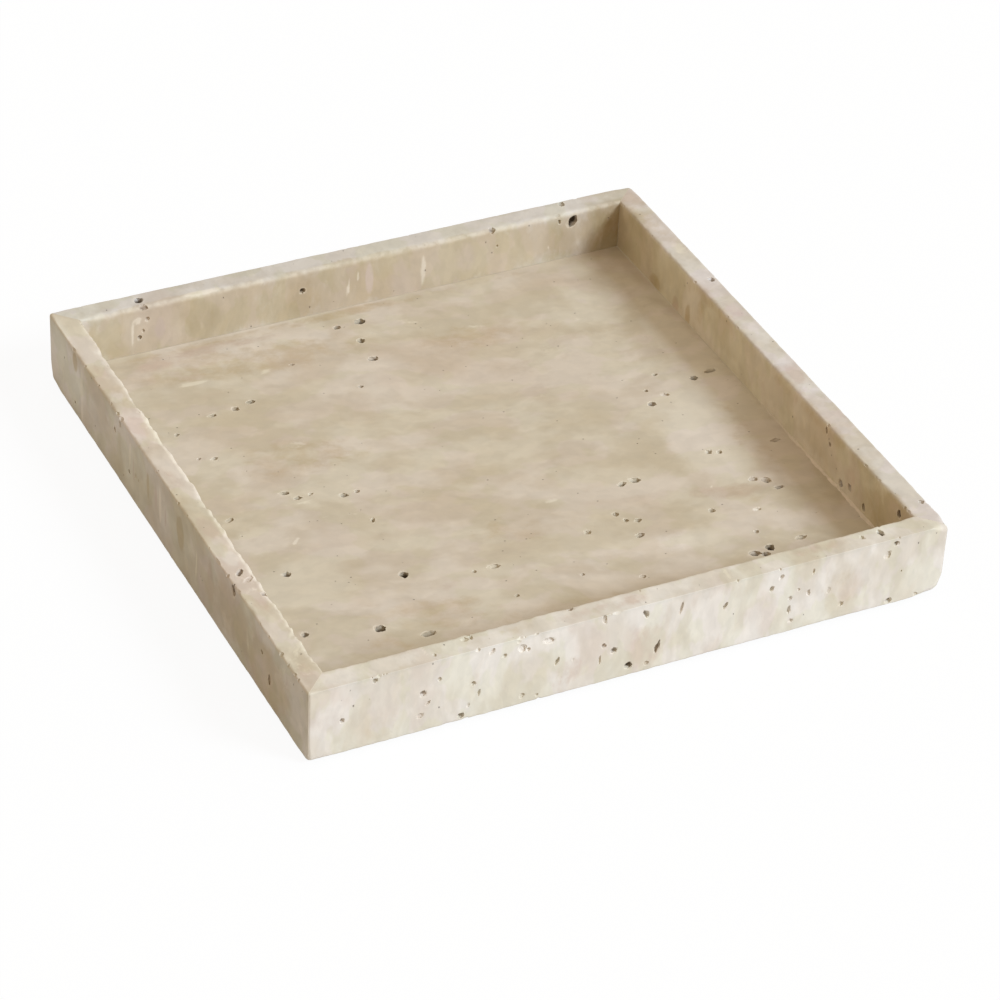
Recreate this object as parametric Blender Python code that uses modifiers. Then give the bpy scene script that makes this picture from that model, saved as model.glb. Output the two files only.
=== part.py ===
"""A square travertine tray: a floor slab inside four mitred walls, with its glue joints and felt pads."""

from math import pi, radians, sqrt

import bmesh
import bpy
from mathutils import Matrix, Vector

# Overall sizes in metres. The tray stands on z = 0 with its centre over the origin.
tray_width = 0.305
tray_depth = 0.305
stone_height = 0.0362
wall_thickness = 0.0116
floor_thickness = 0.0106

# Edges of the stone: the tray's upright corners, the rim's arrises and the outer foot.
corner_radius = 0.0025
arris_ease = 0.0008
foot_ease = 0.0014
corner_segments = 8
ease_segments = 3

# Glue joints. Pieces that touch keep joint_gap between them.
joint_gap = 0.0003
glue_thickness = 0.0004

# Felt pads under the floor slab, measured from the slab's edges to each pad's centre.
pad_diameter = 0.020
pad_thickness = 0.0015
pad_setback = 0.022
pad_ease = 0.0003
pad_segments = 32

# The stone's open voids: one of size 1 is this long with the grain, this wide and this deep.
void_length = 0.0034
void_width = 0.0018
void_depth = 0.0013
# A void's middle stands off the face by this share of its depth.
void_standoff_share = 0.2
void_segments = 10
void_rings = 6

# Voids of each wall: along it from its left end seen from outside, up or across it, and size.
wall_void_shares = {
    "front_wall": {
        "outside": (
            (0.09, 0.91, 0.8),
            (0.17, 0.56, 0.9),
            (0.26, 0.37, 1.1),
            (0.37, 0.50, 1.2),
            (0.45, 0.56, 1.0),
            (0.49, 0.16, 1.1),
            (0.51, 0.84, 1.6),
            (0.53, 0.31, 1.5),
            (0.57, 0.80, 1.5),
            (0.64, 0.68, 0.9),
            (0.71, 0.74, 0.9),
            (0.75, 0.33, 1.1),
            (0.78, 0.80, 1.0),
            (0.83, 0.20, 0.8),
            (0.91, 0.90, 1.0),
        ),
        "rim": ((0.25, 0.72, 0.9), (0.42, 0.88, 0.9), (0.87, 0.50, 0.8)),
        "inside": (),
    },
    "right_wall": {
        "outside": ((0.18, 0.62, 1.0), (0.44, 0.30, 1.2), (0.67, 0.75, 0.9), (0.88, 0.45, 1.1)),
        "rim": ((0.08, 0.30, 0.8), (0.70, 0.25, 0.9)),
        "inside": ((0.08, 0.80, 0.8), (0.17, 0.42, 1.0), (0.23, 0.40, 0.9), (0.28, 0.74, 0.9)),
    },
    "back_wall": {
        "outside": ((0.14, 0.40, 1.1), (0.33, 0.70, 0.9), (0.58, 0.28, 1.0), (0.81, 0.62, 1.2)),
        "rim": ((0.13, 0.76, 1.3), (0.27, 0.85, 1.0), (0.86, 0.32, 1.2)),
        "inside": ((0.26, 0.60, 0.8), (0.59, 0.64, 1.0), (0.86, 0.78, 0.9)),
    },
    "left_wall": {
        "outside": ((0.28, 0.66, 0.9), (0.52, 0.35, 0.8), (0.74, 0.88, 1.0), (0.86, 0.40, 1.2)),
        "rim": ((0.71, 0.42, 0.9), (0.77, 0.90, 0.8)),
        "inside": ((0.35, 0.70, 0.9), (0.62, 0.55, 1.0)),
    },
}
# Voids of the floor, along the slab's width, along its depth, and size.
floor_void_shares = (
    (0.05, 0.34, 1.0),
    (0.17, 0.17, 1.2),
    (0.17, 0.52, 1.3),
    (0.21, 0.53, 1.0),
    (0.26, 0.28, 1.1),
    (0.14, 0.79, 0.9),
    (0.46, 0.90, 0.9),
    (0.48, 0.95, 0.9),
    (0.46, 0.84, 0.9),
    (0.36, 0.24, 0.9),
    (0.57, 0.26, 0.9),
    (0.63, 0.29, 1.0),
    (0.66, 0.27, 0.9),
    (0.79, 0.11, 1.0),
    (0.82, 0.12, 1.4),
    (0.86, 0.38, 0.9),
    (0.87, 0.62, 1.0),
    (0.84, 0.54, 0.9),
    (0.91, 0.28, 0.9),
)

# Colours as linear red, green, blue and alpha.
wall_colour = (0.66, 0.56, 0.43, 1.0)
floor_colour = (0.60, 0.50, 0.37, 1.0)
glue_colour = (0.78, 0.71, 0.60, 1.0)
felt_colour = (0.36, 0.30, 0.24, 1.0)
stone_roughness = 0.55
glue_roughness = 0.35
felt_roughness = 0.95

# Two points closer than this are at one place.
same_place = 1e-6

# Sizes that follow from the ones above.
joint_width = glue_thickness + 2 * joint_gap
stone_rise = pad_thickness + joint_gap
inner_width = tray_width - 2 * wall_thickness
inner_depth = tray_depth - 2 * wall_thickness
slab_width = inner_width - 2 * joint_width
slab_depth = inner_depth - 2 * joint_width
mitre_clearance = joint_width / 2 * sqrt(2)
# Glue stays this far inside the eased edges.
glue_setback = arris_ease * sqrt(2) + joint_gap


def clear_scene():
    for obj in list(bpy.data.objects):
        bpy.data.objects.remove(obj)


def new_collection(name):
    collection = bpy.data.collections.new(name)
    bpy.context.scene.collection.children.link(collection)
    return collection


def new_material(name, colour, roughness):
    material = bpy.data.materials.new(name)
    material.use_nodes = True
    shader = material.node_tree.nodes["Principled BSDF"]
    shader.inputs["Base Color"].default_value = colour
    shader.inputs["Roughness"].default_value = roughness
    shader.inputs["Metallic"].default_value = 0.0
    return material


def new_object(name, bm, collection):
    """The object that holds this mesh, with its round parts shaded smooth."""
    mesh = bpy.data.meshes.new(name)
    bm.to_mesh(mesh)
    bm.free()
    mesh.shade_smooth()
    mesh.set_sharp_from_angle(angle=radians(30))
    obj = bpy.data.objects.new(name, mesh)
    collection.objects.link(obj)
    return obj


def add_piece(name, bm, colour, roughness, parent=None):
    """A piece of the tray, with its own material."""
    obj = new_object(name, bm, tray)
    obj.data.materials.append(new_material(name, colour, roughness))
    obj.parent = parent
    return obj


def box_mesh(width, depth, height):
    """A box that stands on its local origin."""
    bm = bmesh.new()
    shape = Matrix.Translation((0, 0, height / 2)) @ Matrix.Diagonal((width, depth, height, 1))
    bmesh.ops.create_cube(bm, size=1, matrix=shape)
    return bm


def ease_edges(bm, edges, width, segments):
    bmesh.ops.bevel(
        bm,
        geom=edges,
        offset=width,
        segments=segments,
        profile=0.5,
        affect="EDGES",
        clamp_overlap=True,
    )


def cut_mitre(bm, mitre_reach, side):
    """Cuts one end of a wall at 45 degrees, where x and y sum to mitre_reach, and closes it."""
    everything = bm.verts[:] + bm.edges[:] + bm.faces[:]
    cut = bmesh.ops.bisect_plane(
        bm,
        geom=everything,
        plane_co=(side * mitre_reach, 0, 0),
        plane_no=Vector((side, 1, 0)).normalized(),
        clear_outer=True,
    )
    rim = [part for part in cut["geom_cut"] if isinstance(part, bmesh.types.BMEdge)]
    bmesh.ops.contextual_create(bm, geom=rim)


def wall_mesh(length):
    """A wall along X, with its outer face at y = 0, its inner face towards +Y and a mitre at each end."""
    bm = box_mesh(length, wall_thickness, stone_height)
    bmesh.ops.translate(bm, vec=(0, wall_thickness / 2, 0), verts=bm.verts[:])
    outer_ends = [
        edge
        for edge in bm.edges
        if all(abs(vert.co.y) < same_place for vert in edge.verts)
        and abs(edge.verts[0].co.x - edge.verts[1].co.x) < same_place
    ]
    ease_edges(bm, outer_ends, min(corner_radius, wall_thickness), corner_segments)
    mitre_reach = length / 2 - mitre_clearance
    for side in (-1, 1):
        cut_mitre(bm, mitre_reach, side)

    def at_height(edge, height):
        """Whether this edge lies at this height, away from the mitres."""
        middle = (edge.verts[0].co + edge.verts[1].co) / 2
        level = all(abs(vert.co.z - height) < same_place for vert in edge.verts)
        return level and abs(abs(middle.x) + middle.y - mitre_reach) > same_place

    rim_edges = [edge for edge in bm.edges if at_height(edge, stone_height)]
    ease_edges(bm, rim_edges, arris_ease, ease_segments)
    foot_edges = [
        edge
        for edge in bm.edges
        if at_height(edge, 0) and edge.verts[0].co.y + edge.verts[1].co.y < wall_thickness
    ]
    ease_edges(bm, foot_edges, foot_ease, ease_segments)
    return bm


def void_mesh(voids):
    """One mesh of all the rounded voids that a stone has, each given as its middle and its three radii."""
    bm = bmesh.new()
    for middle, radii in voids:
        shape = Matrix.Translation(middle) @ Matrix.Diagonal((*radii, 1))
        bmesh.ops.create_uvsphere(
            bm, u_segments=void_segments, v_segments=void_rings, radius=1, matrix=shape
        )
    return bm


def cut_voids(stone, voids):
    """Opens these voids, given in the stone's own frame, in its faces."""
    cutter = new_object(stone.name + "_voids", void_mesh(voids), cutters)
    cutter.parent = stone.parent
    cutter.location = stone.location
    cutter.rotation_euler = stone.rotation_euler
    cutter.display_type = "WIRE"
    cutter.hide_render = True
    cut = stone.modifiers.new("Voids", "BOOLEAN")
    cut.operation = "DIFFERENCE"
    cut.object = cutter


def wall_voids(length, shares):
    """The voids of a wall. The grain of a wall is upright, so its voids are tall."""
    voids = []
    for along, up, size in shares["outside"]:
        depth = size * void_depth
        middle = ((along - 0.5) * length, -depth * void_standoff_share, up * stone_height)
        voids.append((middle, (size * void_width / 2, depth, size * void_length / 2)))
    for along, up, size in shares["inside"]:
        depth = size * void_depth
        # The floor slab covers the foot of the inner face.
        height = floor_thickness + up * (stone_height - floor_thickness)
        middle = ((along - 0.5) * length, wall_thickness + depth * void_standoff_share, height)
        voids.append((middle, (size * void_width / 2, depth, size * void_length / 2)))
    for along, across, size in shares["rim"]:
        depth = size * void_depth
        height = stone_height + depth * void_standoff_share
        middle = ((along - 0.5) * length, across * wall_thickness, height)
        voids.append((middle, (size * void_width / 2, size * void_width / 2, depth)))
    return voids


def floor_voids():
    """The voids of the floor slab. Its grain runs along X, so they are long that way."""
    voids = []
    for along, across, size in floor_void_shares:
        depth = size * void_depth
        height = floor_thickness + depth * void_standoff_share
        middle = ((along - 0.5) * slab_width, (across - 0.5) * slab_depth, height)
        voids.append((middle, (size * void_length / 2, size * void_width / 2, depth)))
    return voids


def add_walls(stone_foot):
    """Four walls round the floor slab, each turned a quarter turn from the one before."""
    runs = (
        ("front_wall", tray_width, (0, -tray_depth / 2), 0),
        ("right_wall", tray_depth, (tray_width / 2, 0), pi / 2),
        ("back_wall", tray_width, (0, tray_depth / 2), pi),
        ("left_wall", tray_depth, (-tray_width / 2, 0), -pi / 2),
    )
    for name, length, place, turn in runs:
        wall = add_piece(name, wall_mesh(length), wall_colour, stone_roughness, stone_foot)
        wall.location = (*place, 0)
        wall.rotation_euler.z = turn
        cut_voids(wall, wall_voids(length, wall_void_shares[name]))


def add_floor_slab(stone_foot):
    bm = box_mesh(slab_width, slab_depth, floor_thickness)
    slab = add_piece("floor_slab", bm, floor_colour, stone_roughness, stone_foot)
    cut_voids(slab, floor_voids())


def add_mitre_glue(stone_foot):
    """A film of glue in each mitre, level with the rim and short of the rounded corner."""
    round_loss = min(corner_radius, wall_thickness) * (sqrt(2) - 1)
    length = wall_thickness * sqrt(2) - round_loss - 2 * glue_setback
    from_inner_corner = (glue_setback + length / 2) / sqrt(2)
    for name, side_x, side_y in (
        ("front_left", -1, -1),
        ("front_right", 1, -1),
        ("back_right", 1, 1),
        ("back_left", -1, 1),
    ):
        bm = box_mesh(length, glue_thickness, stone_height - glue_setback)
        film = add_piece(name + "_mitre_glue", bm, glue_colour, glue_roughness, stone_foot)
        film.location = (
            side_x * (inner_width / 2 + from_inner_corner),
            side_y * (inner_depth / 2 + from_inner_corner),
            glue_setback,
        )
        film.rotation_euler.z = side_x * side_y * pi / 4


def add_floor_glue(stone_foot):
    """A strip of glue between each edge of the floor slab and the wall beside it, level with the floor."""
    height = floor_thickness - glue_setback
    middle = joint_gap + glue_thickness / 2
    for name, side in (("front", -1), ("back", 1)):
        bm = box_mesh(inner_width - 2 * joint_gap, glue_thickness, height)
        strip = add_piece(name + "_floor_glue", bm, glue_colour, glue_roughness, stone_foot)
        strip.location = (0, side * (inner_depth / 2 - middle), glue_setback)
    for name, side in (("left", -1), ("right", 1)):
        bm = box_mesh(glue_thickness, slab_depth, height)
        strip = add_piece(name + "_floor_glue", bm, glue_colour, glue_roughness, stone_foot)
        strip.location = (side * (inner_width / 2 - middle), 0, glue_setback)


def add_pads():
    """Four felt discs that keep the stone off the table."""
    for name, side_x, side_y in (
        ("front_left", -1, -1),
        ("front_right", 1, -1),
        ("back_right", 1, 1),
        ("back_left", -1, 1),
    ):
        bm = bmesh.new()
        bmesh.ops.create_cone(
            bm,
            cap_ends=True,
            segments=pad_segments,
            radius1=pad_diameter / 2,
            radius2=pad_diameter / 2,
            depth=pad_thickness,
            matrix=Matrix.Translation((0, 0, pad_thickness / 2)),
        )
        pad = add_piece(name + "_pad", bm, felt_colour, felt_roughness)
        pad.location = (
            side_x * (slab_width / 2 - pad_setback),
            side_y * (slab_depth / 2 - pad_setback),
            0,
        )
        ease = pad.modifiers.new("Worn edge", "BEVEL")
        ease.width = pad_ease
        ease.segments = 2
        ease.limit_method = "ANGLE"


clear_scene()
tray = new_collection("Travertine tray")
cutters = new_collection("Cutters")
stone_foot = bpy.data.objects.new("stone_foot", None)
stone_foot.location.z = stone_rise
tray.objects.link(stone_foot)
add_floor_slab(stone_foot)
add_walls(stone_foot)
add_mitre_glue(stone_foot)
add_floor_glue(stone_foot)
add_pads()
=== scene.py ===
"""A square travertine tray: honed walls and floor with open voids, glue joints and felt pads."""

from collections import namedtuple
from math import cos, pi, radians, sin, sqrt
from random import Random

import bmesh
import bpy
import numpy as np
from mathutils import Euler, Matrix, Vector, noise


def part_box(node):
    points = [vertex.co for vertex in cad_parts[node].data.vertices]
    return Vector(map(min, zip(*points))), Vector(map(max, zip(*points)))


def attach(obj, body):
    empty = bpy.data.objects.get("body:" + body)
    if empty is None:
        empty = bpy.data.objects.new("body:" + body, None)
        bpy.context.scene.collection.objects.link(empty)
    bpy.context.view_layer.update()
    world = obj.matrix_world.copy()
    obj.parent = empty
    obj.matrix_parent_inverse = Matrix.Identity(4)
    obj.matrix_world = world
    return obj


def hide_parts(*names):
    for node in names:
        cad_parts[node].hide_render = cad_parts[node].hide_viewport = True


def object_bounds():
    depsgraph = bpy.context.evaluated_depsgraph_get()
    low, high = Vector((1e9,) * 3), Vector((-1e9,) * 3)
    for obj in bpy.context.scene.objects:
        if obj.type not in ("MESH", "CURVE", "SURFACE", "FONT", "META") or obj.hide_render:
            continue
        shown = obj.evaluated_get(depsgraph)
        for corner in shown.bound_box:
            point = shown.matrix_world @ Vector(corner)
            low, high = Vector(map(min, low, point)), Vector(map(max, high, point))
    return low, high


bl_info = {
    "name": "Travertine Tray",
    "version": (1, 0, 0),
    "blender": (4, 5, 0),
    "location": "View3D > Sidebar > Tray",
    "description": "Builds a honed travertine tray with open voids, glue joints and felt pads",
    "category": "Object",
}

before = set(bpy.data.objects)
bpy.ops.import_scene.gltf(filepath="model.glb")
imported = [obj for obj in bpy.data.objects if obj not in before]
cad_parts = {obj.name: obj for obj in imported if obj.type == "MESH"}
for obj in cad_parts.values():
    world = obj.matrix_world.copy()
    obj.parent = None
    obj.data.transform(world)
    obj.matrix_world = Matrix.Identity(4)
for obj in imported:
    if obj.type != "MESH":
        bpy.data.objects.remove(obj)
cad_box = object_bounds()

# Sizes that the frame gives, in metres.
front_low, front_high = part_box("front_wall")
slab_low, slab_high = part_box("floor_slab")
tray_width = cad_box[1].x - cad_box[0].x
tray_depth = cad_box[1].y - cad_box[0].y
rim_top = cad_box[1].z
stone_bottom = front_low.z
stone_height = rim_top - stone_bottom
frame_wall_thickness = front_high.y - front_low.y
frame_floor_thickness = slab_high.z - slab_low.z

# Corners of the tray: on which side of X and of Y each lies, how round it is in plan, how much
# rounder its foot is, and how many times the plain arris its rim is worn.
corner_sides = {
    "front_left": (-1, -1),
    "front_right": (1, -1),
    "back_right": (1, 1),
    "back_left": (-1, 1),
}
corner_round_shares = {"front_left": 0.5, "front_right": 0.4, "back_right": 1.0, "back_left": 0.6}
corner_foot_shares = {"front_left": 0.3, "front_right": 1.6, "back_right": 0.5, "back_left": 1.0}
corner_rim_shares = {"front_left": 1.0, "front_right": 3.2, "back_right": 1.8, "back_left": 1.4}
# Each wall: its corners at its left and right ends seen from outside, and its turn about the tray.
wall_runs = {
    "front_wall": ("front_left", "front_right", 0),
    "right_wall": ("front_right", "back_right", 1),
    "back_wall": ("back_right", "back_left", 2),
    "left_wall": ("back_left", "front_left", 3),
}

# Voids of each wall, placed by shares of the face: along the wall from its left end seen from
# outside, and up or across it. Then come the void's length with the grain, its width and its
# depth, in void units, and how many degrees the grain leans there, if it does.
wall_void_shares = {
    "front_wall": {
        "outside": (
            (0.051, 0.48, 2.2, 2.0, 2.0), (0.098, 0.94, 2.1, 2.1, 1.8),
            (0.171, 0.56, 2.9, 2.7, 2.2), (0.178, 0.4, 2.6, 1.4, 1.0, 50),
            (0.167, 0.24, 2.5, 2.8, 1.0), (0.195, 0.71, 2.0, 1.8, 1.2), (0.23, 0.08, 2.9, 2.7, 2.4),
            (0.24, 0.21, 2.1, 1.1, 0.7, 20), (0.247, 0.51, 2.1, 2.1, 1.6),
            (0.256, 0.35, 3.2, 1.2, 1.2, 5), (0.273, 0.91, 3.1, 2.0, 1.1, 40),
            (0.293, 0.8, 2.0, 2.0, 1.4), (0.32, 0.84, 3.9, 3.3, 1.1, -15),
            (0.329, 0.8, 1.8, 1.6, 1.3), (0.314, 0.95, 1.3, 1.6, 0.4),
            (0.361, 0.85, 2.8, 5.0, 1.3, 10), (0.375, 0.5, 3.6, 1.5, 1.7, 20),
            (0.4, 0.47, 1.6, 1.0, 0.4), (0.442, 0.34, 4.6, 1.2, 0.8), (0.447, 0.55, 2.3, 2.3, 1.8),
            (0.464, 0.44, 3.0, 3.0, 2.4), (0.446, 0.95, 4.6, 2.0, 1.0, -12),
            (0.323, 0.13, 2.2, 2.4, 1.0), (0.346, 0.08, 1.5, 1.5, 0.9),
            (0.489, 0.15, 3.3, 3.4, 3.1), (0.517, 0.11, 2.1, 2.0, 1.1),
            (0.511, 0.86, 4.6, 2.3, 2.0, -25), (0.533, 0.31, 5.8, 1.9, 2.6, 16),
            (0.567, 0.81, 5.8, 1.2, 1.2, 12), (0.638, 0.66, 3.7, 1.5, 2.2, 24),
            (0.712, 0.73, 2.8, 2.0, 1.8, 20), (0.726, 0.87, 2.5, 1.8, 1.5, 45),
            (0.744, 0.34, 3.9, 1.5, 1.6, 4), (0.744, 0.51, 2.0, 1.7, 1.2, 10),
            (0.749, 0.16, 2.1, 2.1, 1.1), (0.774, 0.52, 2.8, 1.8, 1.1),
            (0.757, 0.61, 1.6, 1.4, 0.8), (0.779, 0.83, 2.5, 1.1, 0.8, 8),
            (0.807, 0.48, 3.0, 1.4, 0.6, 14), (0.831, 0.21, 2.3, 2.3, 1.0),
            (0.901, 0.78, 3.6, 3.0, 1.0, 20), (0.914, 0.92, 2.5, 2.3, 2.4),
            (0.912, 0.06, 2.9, 2.8, 2.3), (0.957, 0.05, 1.8, 1.8, 1.0),
        ),
        "rim": (
            (0.254, 0.75, 2.4, 1.8, 1.3, 10), (0.244, 0.72, 2.5, 2.8, 1.0),
            (0.192, 0.32, 1.8, 1.6, 0.9), (0.408, 0.88, 2.6, 3.0, 2.2),
            (0.516, 0.95, 3.4, 1.0, 0.5), (0.868, 0.56, 2.4, 2.2, 1.2),
            (0.899, 0.54, 4.4, 2.6, 2.6, -10),
        ),
        "inside": ((0.22, 0.44, 2.8, 1.8, 1.6), (0.63, 0.7, 3.4, 1.7, 2.0, 8)),
    },
    "right_wall": {
        "outside": (
            (0.18, 0.62, 3.6, 2.2, 2.2, 8), (0.44, 0.3, 4.4, 2.6, 2.8, -6),
            (0.67, 0.75, 3.2, 2.0, 2.0), (0.88, 0.45, 4.0, 2.4, 2.4, 10),
        ),
        "rim": ((0.064, 0.22, 2.6, 2.4, 1.4), (0.703, 0.25, 3.2, 3.4, 2.3)),
        "inside": (
            (0.287, 0.86, 3.4, 1.7, 1.8, 14), (0.274, 0.66, 2.4, 2.0, 1.7),
            (0.234, 0.12, 4.0, 3.2, 2.6), (0.208, 0.23, 4.0, 2.3, 2.0, 12),
            (0.166, 0.14, 3.9, 2.5, 2.3), (0.074, 0.75, 4.2, 3.0, 3.2),
        ),
    },
    "back_wall": {
        "outside": (
            (0.14, 0.4, 4.2, 2.4, 2.4), (0.33, 0.7, 3.2, 2.0, 2.0, 12),
            (0.58, 0.28, 3.6, 2.2, 2.2, -8), (0.81, 0.62, 4.4, 2.6, 2.6),
        ),
        "rim": (
            (0.861, 0.47, 4.2, 4.4, 3.4), (0.267, 0.93, 3.1, 3.1, 2.7), (0.13, 0.22, 3.5, 3.1, 1.8),
            (0.86, 0.95, 3.5, 3.7, 2.8),
        ),
        "inside": (
            (0.124, 0.79, 5.6, 4.2, 5.0, -30), (0.147, 0.84, 2.4, 1.4, 1.3, 10),
            (0.854, 0.71, 2.0, 1.7, 1.2), (0.861, 0.47, 1.8, 1.3, 0.8),
            (0.867, 0.34, 2.1, 1.9, 1.7), (0.595, 0.57, 2.7, 2.6, 2.8),
            (0.257, 0.61, 1.5, 1.2, 0.8),
        ),
    },
    "left_wall": {
        "outside": (
            (0.739, 0.91, 5.2, 3.2, 2.4, -12), (0.841, 0.63, 2.0, 1.8, 1.2),
            (0.867, 0.37, 5.8, 2.3, 2.0, 12), (0.28, 0.7, 2.5, 2.2, 1.3),
            (0.302, 0.9, 3.0, 1.4, 1.3), (0.375, 0.45, 1.6, 1.3, 0.6),
        ),
        "rim": (
            (0.716, 0.5, 5.2, 2.3, 2.2, -51), (0.735, 0.64, 5.6, 2.3, 0.9, -30),
            (0.772, 0.84, 3.2, 3.0, 2.4), (0.3, 0.8, 2.4, 1.2, 0.4, 60),
            (0.34, 0.78, 2.2, 1.3, 0.4, -40),
        ),
        "inside": ((0.35, 0.7, 3.0, 1.9, 1.8), (0.62, 0.55, 3.4, 2.0, 2.2, 8)),
    },
}
# Voids of the floor: shares along the slab's width and its depth, and then as for the walls.
floor_void_shares = (
    (0.438, 0.949, 3.4, 2.5, 2.4), (0.482, 0.951, 5.0, 4.0, 3.3), (0.46, 0.897, 3.7, 3.1, 2.6, 20),
    (0.456, 0.839, 4.6, 3.3, 2.7), (0.404, 0.771, 2.2, 1.8, 1.7), (0.323, 0.874, 2.3, 1.4, 1.3),
    (0.217, 0.799, 4.3, 2.5, 2.1, 5), (0.186, 0.79, 3.1, 2.9, 1.9), (0.144, 0.786, 3.8, 2.1, 1.6),
    (0.07, 0.757, 2.1, 1.8, 1.4), (0.101, 0.672, 3.2, 2.0, 1.4, 10), (0.078, 0.681, 1.8, 1.4, 1.2),
    (0.169, 0.542, 4.2, 2.4, 2.2, -12), (0.183, 0.522, 3.4, 2.3, 2.2),
    (0.206, 0.524, 2.7, 1.4, 1.3, 24), (0.254, 0.501, 3.8, 2.7, 2.2), (0.278, 0.503, 2.4, 1.9, 1.6),
    (0.27, 0.422, 2.9, 1.8, 1.6, 60), (0.06, 0.508, 4.2, 2.3, 1.4, 22),
    (0.088, 0.344, 3.7, 3.0, 2.9), (0.256, 0.274, 3.7, 4.1, 4.6), (0.361, 0.239, 1.8, 1.8, 1.4),
    (0.395, 0.239, 5.4, 2.6, 1.3), (0.055, 0.194, 3.1, 2.9, 2.3), (0.166, 0.164, 4.6, 3.9, 3.5, 10),
    (0.229, 0.124, 6.2, 3.0, 2.3), (0.396, 0.158, 2.0, 1.8, 1.3), (0.634, 0.289, 2.8, 2.7, 1.7),
    (0.642, 0.268, 2.2, 2.1, 1.4), (0.66, 0.261, 2.9, 2.3, 1.6), (0.571, 0.263, 2.9, 2.7, 1.3),
    (0.644, 0.224, 3.8, 2.6, 2.0, 8), (0.514, 0.167, 1.9, 1.5, 1.1),
    (0.599, 0.126, 2.6, 2.1, 1.0, 15), (0.782, 0.239, 2.7, 2.6, 1.8), (0.821, 0.162, 2.2, 2.1, 1.2),
    (0.82, 0.117, 4.1, 4.1, 4.6, -16), (0.806, 0.103, 3.4, 3.2, 3.0),
    (0.791, 0.112, 5.1, 3.4, 2.8, -10), (0.876, 0.617, 2.4, 1.7, 1.6),
    (0.932, 0.583, 3.9, 2.9, 2.8, 8), (0.967, 0.592, 6.2, 2.5, 2.1, 6), (0.84, 0.58, 2.0, 1.8, 1.5),
    (0.864, 0.558, 3.5, 2.3, 1.6, -12), (0.831, 0.542, 3.9, 3.2, 2.5),
    (0.854, 0.384, 3.1, 2.6, 1.8, 10), (0.87, 0.377, 2.7, 2.3, 1.6),
    (0.681, 0.358, 4.2, 2.4, 2.1, 14), (0.705, 0.36, 4.8, 3.3, 2.3, -16),
    (0.903, 0.279, 3.8, 3.8, 2.0, 20), (0.913, 0.254, 4.2, 2.2, 2.0), (0.885, 0.29, 3.8, 3.1, 1.5),
    (0.972, 0.372, 4.4, 2.2, 1.6), (0.851, 0.214, 3.2, 1.7, 1.1), (0.88, 0.121, 5.0, 2.5, 1.7),
    (0.935, 0.17, 2.4, 1.1, 0.6),
)
# Chips out of the walls' edges: which edge, the share along the wall, and the chip's length,
# reach and how deep it bites, in void units.
wall_chip_shares = {
    "front_wall": (
        ("outer", 0.105, 2.0, 1.6, 0.5), ("outer", 0.252, 2.6, 1.8, 0.6),
        ("outer", 0.318, 4.0, 1.8, 0.5), ("outer", 0.655, 2.4, 1.6, 0.4),
        ("inner", 0.253, 2.8, 1.6, 0.7), ("inner", 0.402, 3.2, 1.6, 0.6),
        ("inner", 0.862, 2.6, 1.5, 0.6), ("inner", 0.905, 2.4, 1.6, 0.8),
        ("foot", 0.238, 3.0, 1.8, 0.6), ("foot", 0.35, 3.0, 2.0, 0.7),
    ),
    "right_wall": (
        ("inner", 0.285, 3.2, 1.6, 0.7), ("inner", 0.062, 2.4, 1.6, 0.7),
        ("outer", 0.06, 3.0, 2.0, 0.8), ("outer", 0.705, 2.0, 1.4, 0.6),
    ),
    "back_wall": (
        ("inner", 0.15, 4.0, 2.2, 0.9), ("inner", 0.858, 3.0, 1.8, 0.8),
        ("outer", 0.4, 2.6, 1.6, 0.5),
    ),
    "left_wall": (
        ("outer", 0.105, 3.4, 1.8, 0.7), ("outer", 0.155, 2.4, 1.6, 0.6),
        ("outer", 0.305, 4.0, 2.4, 1.0), ("outer", 0.445, 3.0, 1.8, 0.7),
        ("outer", 0.715, 3.0, 1.6, 0.6), ("outer", 0.905, 3.4, 2.2, 1.0),
        ("outer", 0.93, 2.2, 1.6, 0.7), ("inner", 0.3, 3.2, 1.8, 0.8),
        ("inner", 0.44, 2.8, 1.6, 0.7), ("inner", 0.73, 4.0, 2.0, 0.9),
        ("inner", 0.775, 3.2, 1.8, 0.8), ("inner", 0.87, 3.0, 1.6, 0.6),
    ),
}

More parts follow.
